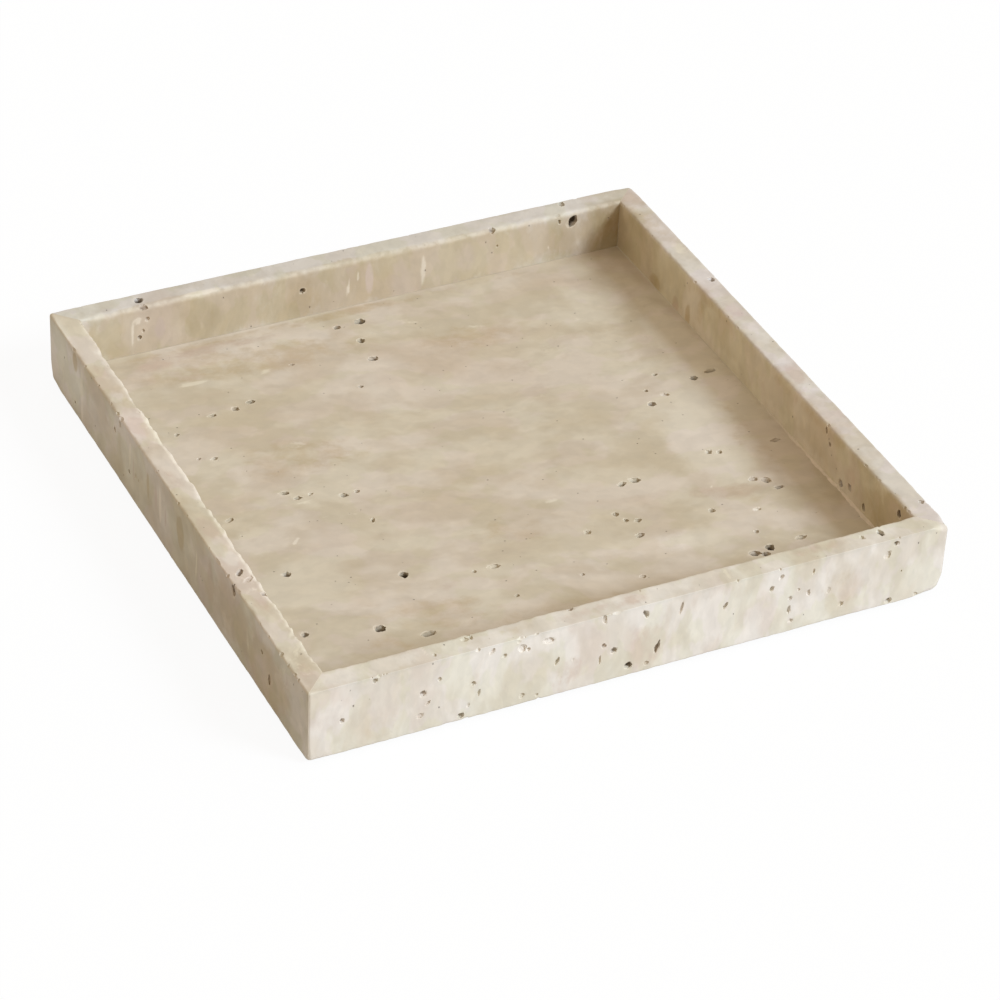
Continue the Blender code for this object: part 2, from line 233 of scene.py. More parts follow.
# Patches of colour, placed as the voids are: shares along and up or across, length with the
# grain and width in void units, the kind, how strong it is, and the lean in degrees, if any.
wall_patch_shares = {
    "front_wall": {
        "outside": (
            (0.182, 0.8, 14, 1.6, "cream", 0.8), (0.657, 0.4, 20, 1.8, "cream", 0.6),
            (0.04, 0.45, 34, 26, "pale", 0.4), (0.115, 0.25, 20, 26, "tan", 0.3),
            (0.29, 0.45, 26, 22, "rose", 0.35), (0.392, 0.3, 20, 22, "rose", 0.45),
            (0.392, 0.25, 16, 20, "tan", 0.35), (0.525, 0.4, 32, 34, "rose", 0.42),
            (0.62, 0.55, 34, 34, "pale", 0.7), (0.822, 0.42, 32, 32, "tan", 0.4),
            (0.925, 0.5, 32, 26, "pale", 0.2),
        ),
        "rim": (
            (0.1, 0.5, 14, 56, "pale", 0.7), (0.115, 0.5, 14, 24, "stain", 0.25),
            (0.352, 0.5, 12, 18, "stain", 0.35), (0.79, 0.5, 14, 52, "stain", 0.3),
            (0.182, 0.7, 9, 1.8, "cream", 0.8), (0.648, 0.55, 11, 1.8, "cream", 0.8),
            (0.3, 0.55, 8, 46, "tan", 0.35), (0.45, 0.45, 9, 60, "rose", 0.45),
            (0.8, 0.6, 8, 34, "rose", 0.5),
        ),
    },
    "right_wall": {
        "inside": (
            # A pale band along the foot of this face is painted bounce light from the floor, and a
            # tan band along its top is painted shade.
            (0.5, 0.05, 16, 300, "pale", 0.6), (0.45, 0.95, 14, 300, "tan", 0.45),
            # The first of these darkens the inside at the back corner: painted shade.
            (0.94, 0.5, 44, 90, "stain", 0.75), (0.762, 0.6, 20, 24, "stain", 0.35),
            (0.565, 0.6, 20, 20, "stain", -0.45), (0.172, 0.85, 14, 26, "stain", 0.4),
            (0.15, 0.2, 20, 30, "stain", 0.3), (0.83, 0.1, 12, 14, "tan", 0.9),
            (0.76, 0.1, 14, 9, "rose", 0.9), (0.72, 0.15, 16, 7, "tan", 0.9),
            (0.48, 0.3, 16, 14, "rose", 0.5), (0.21, 0.4, 20, 12, "rose", 0.5),
            (0.08, 0.5, 34, 60, "tan", 0.75), (0.68, 0.55, 18, 10, "tan", 0.6),
        ),
        "rim": (
            (0.45, 0.65, 16, 170, "stain", -0.38), (0.352, 0.5, 14, 12, "stain", 0.5),
            (0.06, 0.5, 16, 80, "pale", 0.9), (0.62, 0.5, 9, 40, "rose", 0.4),
            (0.93, 0.5, 16, 80, "tan", 0.45), (0.8, 0.4, 9, 16, "cream", 0.5),
            (0.42, 0.5, 9, 20, "rose", 0.5),
        ),
        "outside": (
            (0.2, 0.5, 30, 22, "tan", 0.6), (0.55, 0.5, 32, 14, "rose", 0.6),
            (0.8, 0.5, 30, 3, "cream", 0.7),
        ),
    },
    "back_wall": {
        "inside": (
            (0.5, 0.5, 40, 400, "tan", 0.8), (0.8, 0.5, 40, 120, "tan", 1.1),
            (0.8, 0.45, 44, 100, "stain", 0.08), (0.757, 0.42, 20, 17, "stain", 0.28),
            (0.757, 0.42, 18, 13, "rose", 0.45), (0.93, 0.55, 34, 14, "pale", 0.3),
            (0.91, 0.65, 26, 36, "stain", -0.3), (0.598, 0.4, 28, 14, "stain", 0.45),
            (0.15, 0.35, 28, 18, "stain", 0.5), (0.352, 0.5, 34, 20, "stain", -0.25),
            (0.565, 0.5, 34, 18, "stain", 0.22), (0.225, 0.5, 40, 56, "stain", -0.5),
            # The first of these darkens the inside at the corner by the right wall: painted shade.
            (0.035, 0.45, 48, 40, "stain", 1.1), (0.878, 0.45, 16, 1.8, "cream", 0.9),
            (0.87, 0.72, 5, 5, "cream", 0.7), (0.48, 0.5, 20, 5, "rose", 0.9),
            (0.5, 0.62, 9, 1.8, "cream", 0.7, 8), (0.516, 0.42, 12, 2.2, "cream", 0.7, -6),
            (0.834, 0.45, 14, 6, "rose", 0.6), (0.683, 0.45, 10, 3, "cream", 0.4, 6),
            (0.387, 0.45, 20, 3, "cream", 0.6), (0.31, 0.55, 24, 14, "rose", 0.6),
            (0.33, 0.5, 34, 60, "pale", 0.75),
        ),
        "rim": (
            (0.4, 0.45, 16, 240, "pale", 0.8), (0.45, 0.5, 16, 140, "stain", 0.14),
            (0.76, 0.85, 4, 24, "cream", 0.8),
        ),
        "outside": (
            (0.25, 0.5, 30, 4, "cream", 0.7, 4), (0.4, 0.5, 34, 24, "tan", 0.8),
            (0.72, 0.5, 26, 10, "rose", 0.8),
        ),
    },
    "left_wall": {
        "outside": (
            # These two darken the face just under a chip in the rim: painted shade.
            (0.114, 0.84, 11, 7, "tan", 1.0), (0.114, 0.9, 11, 9, "stain", 0.45),
            (0.139, 0.42, 32, 3.6, "cream", 1.5, 2), (0.139, 0.42, 32, 3.2, "stain", -0.8, 2),
            (0.06, 0.5, 40, 60, "pale", 1.0), (0.06, 0.5, 44, 70, "stain", -0.8),
            (0.94, 0.5, 44, 40, "stain", -0.2), (0.3, 0.5, 44, 110, "stain", -0.5),
            (0.844, 0.35, 26, 18, "stain", -0.5), (0.238, 0.5, 22, 12, "tan", 0.4),
            (0.341, 0.65, 18, 2.8, "cream", 1.1, 8), (0.655, 0.5, 34, 8, "rose", 0.6),
            (0.8, 0.5, 34, 8, "pale", 0.6), (0.93, 0.5, 34, 9, "rose", 0.5),
            (0.322, 0.5, 12, 1.6, "cream", 0.7), (0.355, 0.5, 20, 3.0, "rose", 0.8),
            (0.413, 0.6, 18, 4.0, "tan", 0.9), (0.445, 0.6, 18, 2.6, "rose", 0.9),
            (0.461, 0.55, 22, 3.2, "cream", 1.2), (0.482, 0.5, 18, 3.0, "rose", 0.8),
            (0.54, 0.6, 22, 11, "tan", 0.9), (0.6, 0.45, 20, 2.0, "cream", 0.6, 4),
            (0.73, 0.45, 36, 60, "tan", 0.65), (0.87, 0.4, 36, 60, "tan", 0.8),
            (0.79, 0.5, 16, 2.0, "cream", 0.5, -5),
        ),
        "rim": (
            (0.335, 0.5, 14, 26, "stain", -0.75), (0.402, 0.5, 12, 14, "stain", 0.3),
            (0.69, 0.45, 14, 80, "stain", -0.3), (0.08, 0.5, 16, 70, "pale", 0.8),
            (0.18, 0.42, 10, 20, "rose", 0.5), (0.25, 0.4, 10, 12, "pale", 0.6),
            (0.33, 0.4, 10, 20, "rose", 0.55), (0.42, 0.5, 10, 20, "pale", 0.7),
            (0.48, 0.45, 10, 18, "rose", 0.5), (0.6, 0.42, 11, 24, "rose", 0.65),
            (0.68, 0.5, 9, 14, "pale", 0.7), (0.8, 0.42, 10, 20, "rose", 0.5),
            (0.88, 0.5, 10, 16, "pale", 0.7), (0.95, 0.42, 10, 14, "rose", 0.5),
            # A cream band along the rim's inner edge: partly rubbed pale, partly painted highlight
            # on the rounded arris.
            (0.5, 0.95, 4.4, 320, "cream", 0.6),
        ),
    },
}
floor_patch_shares = (
    (0.149, 0.884, 18, 3.6, "cream", 1.0, -6), (0.165, 0.902, 9, 2.0, "cream", 0.9, -4),
    (0.273, 0.871, 10, 3.0, "cream", 0.8, 4), (0.137, 0.417, 8, 1.8, "cream", 1.0, 35),
    (0.19, 0.505, 14, 3.0, "cream", 0.8, -4), (0.557, 0.362, 9, 4.0, "cream", 0.8),
    (0.813, 0.295, 4, 2.6, "cream", 0.8), (0.853, 0.217, 6, 2.6, "cream", 0.8),
    (0.832, 0.276, 42, 15, "rose", 0.6, -14), (0.832, 0.276, 42, 15, "stain", 0.12, -14),
    (0.5, 0.32, 80, 36, "tan", 0.35, -10), (0.61, 0.26, 80, 20, "tan", 0.3, -8),
    (0.25, 0.165, 110, 30, "tan", 0.4, -14), (0.16, 0.12, 60, 22, "tan", 0.35),
    (0.33, 0.215, 50, 16, "rose", 0.35, -12), (0.097, 0.311, 46, 34, "pale", 0.9, -8),
    (0.085, 0.442, 40, 26, "pale", 0.7), (0.18, 0.36, 36, 12, "pale", 0.8, -10),
    (0.727, 0.18, 56, 22, "pale", 0.7, -6), (0.86, 0.4, 44, 60, "pale", 1.1),
    # The second of these lightens the floor where the right wall's shadow begins: painted light.
    (0.86, 0.43, 44, 76, "stain", -0.3), (0.935, 0.53, 26, 50, "stain", -0.35),
    (0.65, 0.19, 60, 15, "stain", -0.6, -8), (0.25, 0.93, 130, 20, "stain", -0.2, -4),
    (0.5, 0.09, 170, 20, "stain", 0.32, -6), (0.5, 0.09, 150, 22, "tan", 0.4, -6),
    (0.18, 0.18, 90, 36, "stain", -0.12, -8), (0.86, 0.21, 50, 40, "stain", -0.12),
    # The first of these lightens the floor in the right wall's shadow: painted light.
    (0.975, 0.64, 34, 120, "stain", -0.5), (0.68, 0.345, 60, 16, "pale", 0.8, -8),
    # The first of these, a pale strip along the right wall's foot in its shadow, is painted light.
    (0.96, 0.55, 26, 260, "pale", 0.9), (0.8, 0.7, 80, 60, "pale", 0.6),
    # The second of these, a tan strip along the back wall's foot, is painted shade.
    (0.24, 0.97, 90, 10, "rose", 0.5), (0.42, 0.985, 240, 9, "tan", 0.6),
    (0.112, 0.955, 40, 8, "rose", 0.4, 2), (0.28, 0.91, 150, 34, "tan", 0.5, -4),
    (0.25, 0.62, 90, 40, "tan", 0.4), (0.661, 0.85, 70, 30, "tan", 0.4),
    # The first of these darkens the floor along the edge of the right wall's shadow: painted shade.
    (0.93, 0.42, 18, 110, "tan", 0.4), (0.895, 0.235, 44, 14, "tan", 0.4),
)
patch_kinds = ("cream", "tan", "rose", "pale")
# A patch of the kind "stain" leaves these shares of red, green and blue; one below 0 lightens.
# Besides the stone's own stains, some of these patches are painted shade in inner corners, and
# some that lighten are painted light in the right wall's shadow.
stain_and_shade_tint = (0.74, 0.68, 0.55)

# Each face of a wall has a tint, as shares of the wall's own colour. Most are the tone of other
# layers that the face cuts through, but the front rim's darker tint is painted shade, as the front
# face takes more of the lamp than the top, and the right wall's warmer inside is painted warm
# bounce light in the shadow that covers it.
face_tints_and_shade = {
    "front_wall": {"rim": (0.92, 0.935, 0.93), "inside": (1.0, 1.0, 1.0)},
    "right_wall": {"rim": (0.99, 0.99, 0.99), "inside": (1.07, 1.04, 0.90)},
    "back_wall": {"rim": (0.96, 0.985, 0.995), "inside": (1.0, 1.0, 0.98)},
    "left_wall": {"rim": (1.03, 1.01, 1.0), "inside": (1.0, 1.0, 1.0)},
}

# Each stone: the seed of its small voids, where its layers lie, how tan, how rosy, how streaked
# and how flaky it is, and how closely its layers follow each other.
stone_characters = {
    "front_wall": (11, 3.1, 0.12, 0.50, 0.15, 0.8, 1.0),
    "right_wall": (23, 8.7, 0.30, 0.50, 0.25, 0.8, 0.85),
    "back_wall": (37, 14.2, 0.30, 0.45, 0.18, 0.8, 0.85),
    "left_wall": (41, 21.6, 0.45, 0.55, 0.28, 1.0, 0.55),
    "floor_slab": (53, 31.4, 0.24, 0.28, 0.10, 0.7, 0.75),
}
# Wear along each edge of a wall: how many chips it has and how large they are, how many shallow
# scallops, how much rounder than the plain ease it is, how pale it is painted (partly rubbed,
# partly painted highlight), and how uneven.
edge_wear = {
    "front_wall": {
        "outer": (9, 0.9, 2, 0.22, 0.0, 0.5),
        "inner": (8, 1.1, 2, 1.7, 0.5, 0.45),
        "foot": (7, 0.9, 0, 0.9, 0.4, 0.5),
    },
    "right_wall": {
        "outer": (5, 0.7, 1, 1.0, 0.6, 0.45),
        "inner": (12, 1.1, 4, 1.5, 0.7, 0.6),
        "foot": (7, 0.9, 0, 1.0, 0.5, 0.5),
    },
    "back_wall": {
        "outer": (5, 0.7, 1, 1.0, 0.6, 0.4),
        "inner": (8, 0.9, 3, 2.3, 1.2, 0.5),
        "foot": (7, 0.9, 0, 1.0, 0.5, 0.5),
    },
    "left_wall": {
        "outer": (14, 1.3, 4, 1.2, 0.8, 0.8),
        "inner": (34, 1.6, 18, 2.5, 1.7, 1.3),
        "foot": (5, 0.8, 0, 0.8, 0.5, 0.4),
    },
}
# What every colour setting has.
colour_setting = {"size": 4, "min": 0.0, "max": 1.0, "subtype": "COLOR"}


class TrayShape(bpy.types.PropertyGroup):
    """Sizes of the stone."""

    wall_thickness: bpy.props.FloatProperty(
        name="Wall thickness",
        description="Thickness of the four walls",
        default=frame_wall_thickness,
        min=0.004,
        unit="LENGTH",
    )
    floor_thickness: bpy.props.FloatProperty(
        name="Floor thickness",
        description="Thickness of the floor slab",
        default=frame_floor_thickness,
        min=0.004,
        unit="LENGTH",
    )
    corner_radius: bpy.props.FloatProperty(
        name="Corner radius",
        description="Radius of the tray's upright corners before wear",
        default=0.0025,
        min=0.0005,
        unit="LENGTH",
    )
    arris_ease: bpy.props.FloatProperty(
        name="Rim arris",
        description="Radius of the rim's edges before wear",
        default=0.001,
        min=0.0002,
        unit="LENGTH",
    )
    foot_ease: bpy.props.FloatProperty(
        name="Foot arris",
        description="Radius of the outer foot before wear",
        default=0.0012,
        min=0.0002,
        unit="LENGTH",
    )
    hand_work: bpy.props.FloatProperty(
        name="Hand work",
        description="How uneven the honed rim is",
        default=0.00014,
        min=0.0,
        unit="LENGTH",
    )
    mitre_joint: bpy.props.FloatProperty(
        name="Mitre joint",
        description="Width of the glue joint where two walls meet",
        default=0.00024,
        min=0.0001,
        unit="LENGTH",
    )
    floor_joint: bpy.props.FloatProperty(
        name="Floor joint",
        description="Width of the glue joint round the floor slab",
        default=0.0005,
        min=0.0002,
        unit="LENGTH",
    )
    void_unit: bpy.props.FloatProperty(
        name="Void unit",
        description="Length that the voids and chips are measured in",
        default=0.001,
        min=0.0002,
        unit="LENGTH",
    )
    small_voids: bpy.props.IntProperty(
        name="Small voids",
        description="Number of small voids in a stretch of face the size of this tray's floor",
        default=24,
        min=0,
    )


class TrayFinish(bpy.types.PropertyGroup):
    """Colours of the stone, the glue and the felt."""

    front_stone: bpy.props.FloatVectorProperty(
        name="Front stone",
        description="Colour of most of the front wall",
        default=(0.725, 0.655, 0.542, 1.0),
        **colour_setting,
    )
    right_stone: bpy.props.FloatVectorProperty(
        name="Right stone",
        description="Colour of most of the right wall",
        default=(0.60, 0.537, 0.458, 1.0),
        **colour_setting,
    )
    back_stone: bpy.props.FloatVectorProperty(
        name="Back stone",
        description="Colour of most of the back wall",
        default=(0.585, 0.522, 0.435, 1.0),
        **colour_setting,
    )
    left_stone: bpy.props.FloatVectorProperty(
        name="Left stone",
        description="Colour of most of the left wall",
        default=(0.578, 0.516, 0.406, 1.0),
        **colour_setting,
    )
    floor_stone: bpy.props.FloatVectorProperty(
        name="Floor stone",
        description="Colour of most of the floor slab",
        default=(0.568, 0.488, 0.372, 1.0),
        **colour_setting,
    )
    # The cream also paints the pale edges: partly rubbed wear, partly painted highlight.
    cream: bpy.props.FloatVectorProperty(
        name="Cream vein",
        description="Colour of the thin veins and of rubbed edges",
        default=(0.79, 0.72, 0.59, 1.0),
        **colour_setting,
    )
    # The dark of void bottoms and pin pores: partly their own darker colour, partly painted shade.
    deep: bpy.props.FloatVectorProperty(
        name="Void depths",
        description="Colour at the bottom of a void",
        default=(0.11, 0.08, 0.052, 1.0),
        **colour_setting,
    )
    glue: bpy.props.FloatVectorProperty(
        name="Glue",
        description="Colour of the stone glue",
        default=(0.78, 0.665, 0.54, 1.0),
        **colour_setting,
    )
    felt: bpy.props.FloatVectorProperty(
        name="Felt",
        description="Colour of the felt pads",
        default=(0.36, 0.30, 0.24, 1.0),
        **colour_setting,
    )


class TrayStudio(bpy.types.PropertyGroup):
    """The floor, the light and the camera."""

    key_strength: bpy.props.FloatProperty(
        name="Key light",
        description="Strength of the soft lamp from the front right",
        default=2.98,
        min=0.0,
    )
    key_height: bpy.props.FloatProperty(
        name="Key height",
        description="Height of the lamp above the horizon",
        default=radians(35),
        subtype="ANGLE",
    )
    key_side: bpy.props.FloatProperty(
        name="Key side",
        description="How far the lamp stands round to the right of the front",
        default=radians(42),
        subtype="ANGLE",
    )
    key_softness: bpy.props.FloatProperty(
        name="Key softness",
        description="Angle that the lamp fills, seen from the tray",
        default=radians(22),
        subtype="ANGLE",
    )
    sky_strength: bpy.props.FloatProperty(
        name="Fill light",
        description="Strength of the even light from all round",
        default=0.60,
        min=0.0,
    )
    camera_side: bpy.props.FloatProperty(
        name="Camera side",
        description="How far the camera stands round to the left of the front",
        default=radians(27.39),
        subtype="ANGLE",
    )
    camera_height: bpy.props.FloatProperty(
        name="Camera height",
        description="Height of the camera above the horizon",
        default=radians(36.07),
        subtype="ANGLE",
    )
    camera_roll: bpy.props.FloatProperty(
        name="Camera roll",
        description="How far the camera leans about its line of sight",
        default=radians(2.95),
        subtype="ANGLE",
    )
    camera_distance: bpy.props.FloatProperty(
        name="Camera distance",
        description="Distance from the camera to the point that it looks at",
        default=1.7144,
        unit="LENGTH",
    )
    camera_lens: bpy.props.FloatProperty(
        name="Camera lens",
        description="Focal length in millimetres",
        default=135.94,
        unit="CAMERA",
    )


# Mesh steps, in metres or as counts.
wall_step = 0.00125
face_cells = 16
rim_cells = 8
arc_cells = 4
corner_cells = 6
slab_step = 0.0022
slab_cells_up = 3
film_steps = 90
bead_step = 0.0012
pad_spokes = 72
smooth_angle = radians(38)
bead_smooth_angle = radians(50)
# The walls stand this much inside the frame's box.
box_margin = 0.000001

# Worn edges change over these lengths, and keep to the corner's own radius this close to a mitre.
wear_wave = 0.013
wear_ripple = 0.0034
mitre_calm = 0.008
# The foot's extra wear at a corner fades out over this length.
foot_wear_run = 0.012
# The end of a wall is straight for this long where its corner isn't round.
corner_run = 0.0012
# A corner is rounder over this share of its height, from the foot up.
foot_round_share = 0.3
# The honed rim's broad and close lumps, along the wall and across it. They fade out this near the
# wall's faces and this far below the rim.
broad_lump = (0.011, 0.008)
close_lump = (0.0042, 0.0036)
lump_margin = 0.0015
lump_depth = 0.002

# A void's dish is this share of its depth, and no deeper than the limit in void units. Its lip
# flares to these shares of the void's length, width and dish, and the hollow under it to these of
# the length, width and depth. A void as deep as the second limit has a hollow, and one as large as
# the third is made finer.
dish_share = 0.8
dish_limit = 0.5
lip_shares = (1.45, 1.5, 1.7)
hollow_limit = 0.7
hollow_shares = (1.12, 1.14, 0.68)
fine_limit = 1.7
# How lumpy a lip, a hollow, a small void, a chip and a scallop are, as shares of their radii.
lip_lumps = 0.3
hollow_lumps = 0.36
small_void_lumps = 0.3
chip_lumps = 0.32
scallop_lumps = 0.05
# Sizes of the small and the scattered voids in void units, and how many are scattered over the
# faces that show few or none of the placed ones.
small_void_lengths = (0.35, 0.45, 0.55, 0.7, 0.9)
scattered_lengths = (1.4, 3.8)
scattered_breadths = (1.0, 1.5)
scattered_depths = (0.5, 2.3)
scattered_counts = {
    "front_wall": {"inside": 12},
    "right_wall": {"outside": 26},
    "back_wall": {"outside": 26},
    "left_wall": {"outside": 8, "inside": 12},
}
scattered_underneath = 60
# Seeded voids keep this share of a face free at its ends and at its edges, and the grain leans by
# about this many degrees there.
small_void_margins = (0.02, 0.03)
scattered_margins = (0.03, 0.08)
lean_spread = 14
# Chips that wear leaves: their reach as shares of the edge's chip size, and their length and bite
# as shares of their reach. Scallops: their reach and bite in void units, and their length as
# shares of their reach. Both keep to this part of a wall's length.
chip_reach_shares = (0.6, 1.2)
chip_length_shares = (1.0, 2.6)
chip_bite_shares = (0.3, 0.55)
scallop_reaches = (2.0, 4.5)
scallop_length_shares = (1.6, 3.0)
scallop_bites = (0.15, 0.50)
chip_places = (0.03, 0.97)

# How far under a face its patches of colour still show.
patch_depth = 0.004
# A face's tint starts this near it and is whole after the second length.
tint_reach = 0.0014
tint_run = 0.001
# The stone is sawn, and not honed, this near its underside.
sawn_reach = 0.0006
# The slab's layers lie this far round from its width.
slab_layer_turn = radians(14)
# Shades of a stone, as shares of its own colour.
shade_shares = {
    "pale": (1.12, 1.15, 1.21, 1.0),
    "tan": (0.87, 0.80, 0.67, 1.0),
    "rose": (0.94, 0.87, 0.86, 1.0),
    "cool": (1.025, 1.015, 1.055, 1.0),
    "warm": (0.975, 0.98, 0.945, 1.0),
}
# The noises that a stone is mixed from: how each is stretched, its lumps to the metre, how far its
# seed lies from the stone's, its detail and its roughness.
noise_stretches = {"long": (1.0, 0.5, 0.17), "patchy": (1.0, 0.8, 0.5), "banded": (1.0, 0.6, 0.3)}
stone_noises = {
    "layer": ("banded", 130.0, 1.3, 5.0, 0.6),
    "fine": ("long", 520.0, 2.9, 3.0, 0.6),
    "patch": ("patchy", 58.0, 4.1, 3.5, 0.55),
    "stain": ("patchy", 38.0, 5.2, 4.0, 0.55),
    "blush": ("patchy", 44.0, 6.7, 3.0, 0.5),
    "mottle": ("patchy", 210.0, 7.9, 2.0, 0.55),
    "wisp": ("banded", 75.0, 8.3, 6.0, 0.72),
    "rag": ("patchy", 210.0, 9.1, 4.0, 0.65),
    "flake": ("patchy", 75.0, 10.4, 3.0, 0.5),
    "scale": ("patchy", 170.0, 11.6, 2.0, 0.5),
}
# The saw's stripes on the underside follow each other at this distance.
saw_pitch = 0.0021

# The films in the mitres keep back from the stone by this share of their width. Their outer edge
# wanders over the second length.
film_recess_share = 0.1
film_wave = 0.004
# The bead of glue along each side of the floor: its width as a share of the plain one, and its
# height as a share of its own width.
glue_bead_shares = {
    "front": (0.6, 0.32),
    "right": (1.2, 0.32),
    "back": (0.3, 0.04),
    "left": (0.6, 0.2),
}
bead_width = 0.0011
# A bead above the floor, from its edge to the wall, as shares of its width and its height.
bead_section_shares = ((0.85, 0.22), (0.6, 0.42), (0.3, 0.68), (0.0, 1.0))
# A bead swells and thins in waves and ripples of these lengths.
bead_wave = 0.011
bead_ripple = 0.003
# The right bead thins and dulls from this place along the wall, over this length, and loses this
# share of its swell.
bead_thin_start = -0.08
bead_thin_run = 0.1
bead_thin_share = 0.8
# How deep the glue goes in its joint as a share of the floor's thickness, how far a bead's edge
# sinks into the floor, and how far it ends before the corner.
bead_root_share = 0.6
bead_sink = 0.00003
bead_end_gap = 0.00005
# All beads but the right one have taken on the floor's dust. Their colour, as a share of the
# floor's.
dusty_glue_share = 0.84

# A felt pad from its underside to its top, as shares of its radius and its height.
pad_section_shares = (
    (0.25, 0.0), (0.6, 0.0), (0.9, 0.0), (0.965, 0.08), (0.99, 0.28),
    (0.985, 0.6), (0.975, 0.9), (0.9, 1.0), (0.6, 1.0), (0.25, 1.0),
)
# How ragged a pad's edge is as a share of its radius, and how deep the dents under it are as a
# share of its height.
pad_fray_share = 0.012
pad_dent_share = 0.03

# The studio: how wide its floor is, how far off the lamp stands, its colour and that of the fill,
# and what the camera looks at.
ground_radius = 6.0
lamp_distance = 2
lamp_colour = (0.735, 0.855, 1.0)
fill_colour = (1.0, 0.85, 0.66, 1.0)
camera_target = (0.0011, -0.0169, 0.0018)

x_axis, y_axis, z_axis = Vector((1, 0, 0)), Vector((0, 1, 0)), Vector((0, 0, 1))
# A flat face of a stone: how two measures make a point on it, how far each of them runs, the
# directions of its grain and across it, and the way out of the stone.
Face = namedtuple("Face", "place span_a span_b grain across out")
# Points and faces of unit balls, by how fine they are.
ball_templates = {}


def smooth(value):
    """0 below 0, 1 above 1 and an even curve between."""
    value = min(1.0, max(0.0, value))
    return value * value * (3 - 2 * value)


def show(name, mesh, node):
    """Puts this mesh in the scene as a piece that stands for this CAD node."""
    piece = bpy.data.objects.new(name, mesh)
    tray_collection().objects.link(piece)
    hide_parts(node)
    return piece


def tray_collection():
    """The collection that holds the tray's pieces."""
    name = "Travertine tray"
    collection = bpy.data.collections.get(name)
    if collection is None:
        collection = bpy.data.collections.new(name)
        bpy.context.scene.collection.children.link(collection)
    return collection


def put_attribute(mesh, name, values):
    """Gives each point of the mesh a value of this name."""
    attribute = mesh.attributes.new(name, "FLOAT", "POINT")
    attribute.data.foreach_set("value", np.asarray(values, np.float32))


def mesh_points(mesh):
    """The mesh's points as rows of x, y and z."""
    points = np.empty(len(mesh.vertices) * 3, np.float32)
    mesh.vertices.foreach_get("co", points)
    return points.reshape(-1, 3).astype(float)


def smooth_step(values):
    """What smooth gives, for each value of an array."""
    values = np.clip(values, 0, 1)
    return values * values * (3 - 2 * values)


def ring_mesh(name, rings, hubs=()):
    """A closed form through rings of points. Its two ends are flat, or fans round the hubs."""
    bm = bmesh.new()
    rings = [[bm.verts.new(point) for point in ring] for ring in rings]
    count = len(rings[0])
    for low_ring, high_ring in zip(rings, rings[1:]):
        for k in range(count):
            after = (k + 1) % count
            bm.faces.new((low_ring[k], low_ring[after], high_ring[after], high_ring[k]))
    for ring, middle in zip((rings[0], rings[-1]), hubs):
        hub = bm.verts.new(middle)
        for k in range(count):
            bm.faces.new((ring[k], ring[(k + 1) % count], hub))
    if not hubs:
        bm.faces.new(rings[0])
        bm.faces.new(rings[-1])
    bmesh.ops.recalc_face_normals(bm, faces=bm.faces)
    mesh = bpy.data.meshes.new(name)
    bm.to_mesh(mesh)
    bm.free()
    return mesh


def worn_radius(ease, place, seed, uneven):
    """An edge's radius at this place along it, where wear has made it this uneven."""
    wave = noise.noise((place / wear_wave, seed, 0.5))
    ripple = noise.noise((place / wear_ripple, seed, 7.5))
    return ease * max(0.35, 1 + uneven * (0.8 * wave + 0.7 * ripple))


def wall_section(thickness, height, foot, outer, inner):
    """A wall's outline across its length: insets from the outer face and heights."""
    ends = (0, 0.02, 0.05)
    cells = [k / face_cells for k in range(1, face_cells)]
    rises = sorted({*ends, *cells, *(1 - end for end in ends)})
    crossings = [k / rim_cells for k in range(rim_cells + 1)]
    turns = [k / arc_cells * pi / 2 for k in range(arc_cells + 1)]
    outline = []
    for share in crossings:
        outline.append((thickness + (foot - thickness) * share, 0.0))
    for turn in turns[1:]:
        outline.append((foot - foot * sin(turn), foot - foot * cos(turn)))
    for share in rises[1:]:
        outline.append((0.0, foot + (height - outer - foot) * share))
    for turn in turns[1:]:
        outline.append((outer - outer * cos(turn), height - outer + outer * sin(turn)))
    for share in crossings[1:]:
        outline.append((outer + (thickness - inner - outer) * share, height))
    for turn in turns[1:]:
        inset = thickness - inner + inner * sin(turn)
        outline.append((inset, height - inner + inner * cos(turn)))
    for share in rises[1:-1]:
        outline.append((thickness, (height - inner) * (1 - share)))
    return outline


def corner_point(half_length, inset, radius, share):
    """A point of a wall's end at this inset, from the start of the corner's run to the mitre."""
    bend = max(radius - inset, 0.0)
    run = max(corner_run - bend * pi / 4, 0.0)
    arc_start = half_length - max(radius, inset)
    travel = share * (run + bend * pi / 4)
    if travel <= run or bend == 0:
        return arc_start - run + travel, inset
    turn = (travel - run) / bend
    return arc_start + bend * sin(turn), inset + bend - bend * cos(turn)


def corner_radius_at(corner, height, shape):
    """The radius of an upright corner at this height. It is rounder near the foot."""
    low = 1 - smooth(height / (stone_height * foot_round_share))
    return shape.corner_radius * (corner_round_shares[corner] + corner_foot_shares[corner] * low)


def round_loss(radius, reach):
    """How far a rounded edge falls back where this much of its radius has been passed."""
    reach = min(radius, max(0.0, reach))
    return radius - sqrt(radius * radius - reach * reach)


def unevenness(x, y, z):
    """How far a hand-honed face lies below the true one here, as a share from 0 to 1."""
    broad = noise.noise((x / broad_lump[0], y / broad_lump[1], z / broad_lump[0]))
    close = noise.noise((x / close_lump[0], y / close_lump[1], z / close_lump[0] + 9))
    return min(1.0, max(0.0, 0.5 + 0.55 * broad + 0.45 * close))


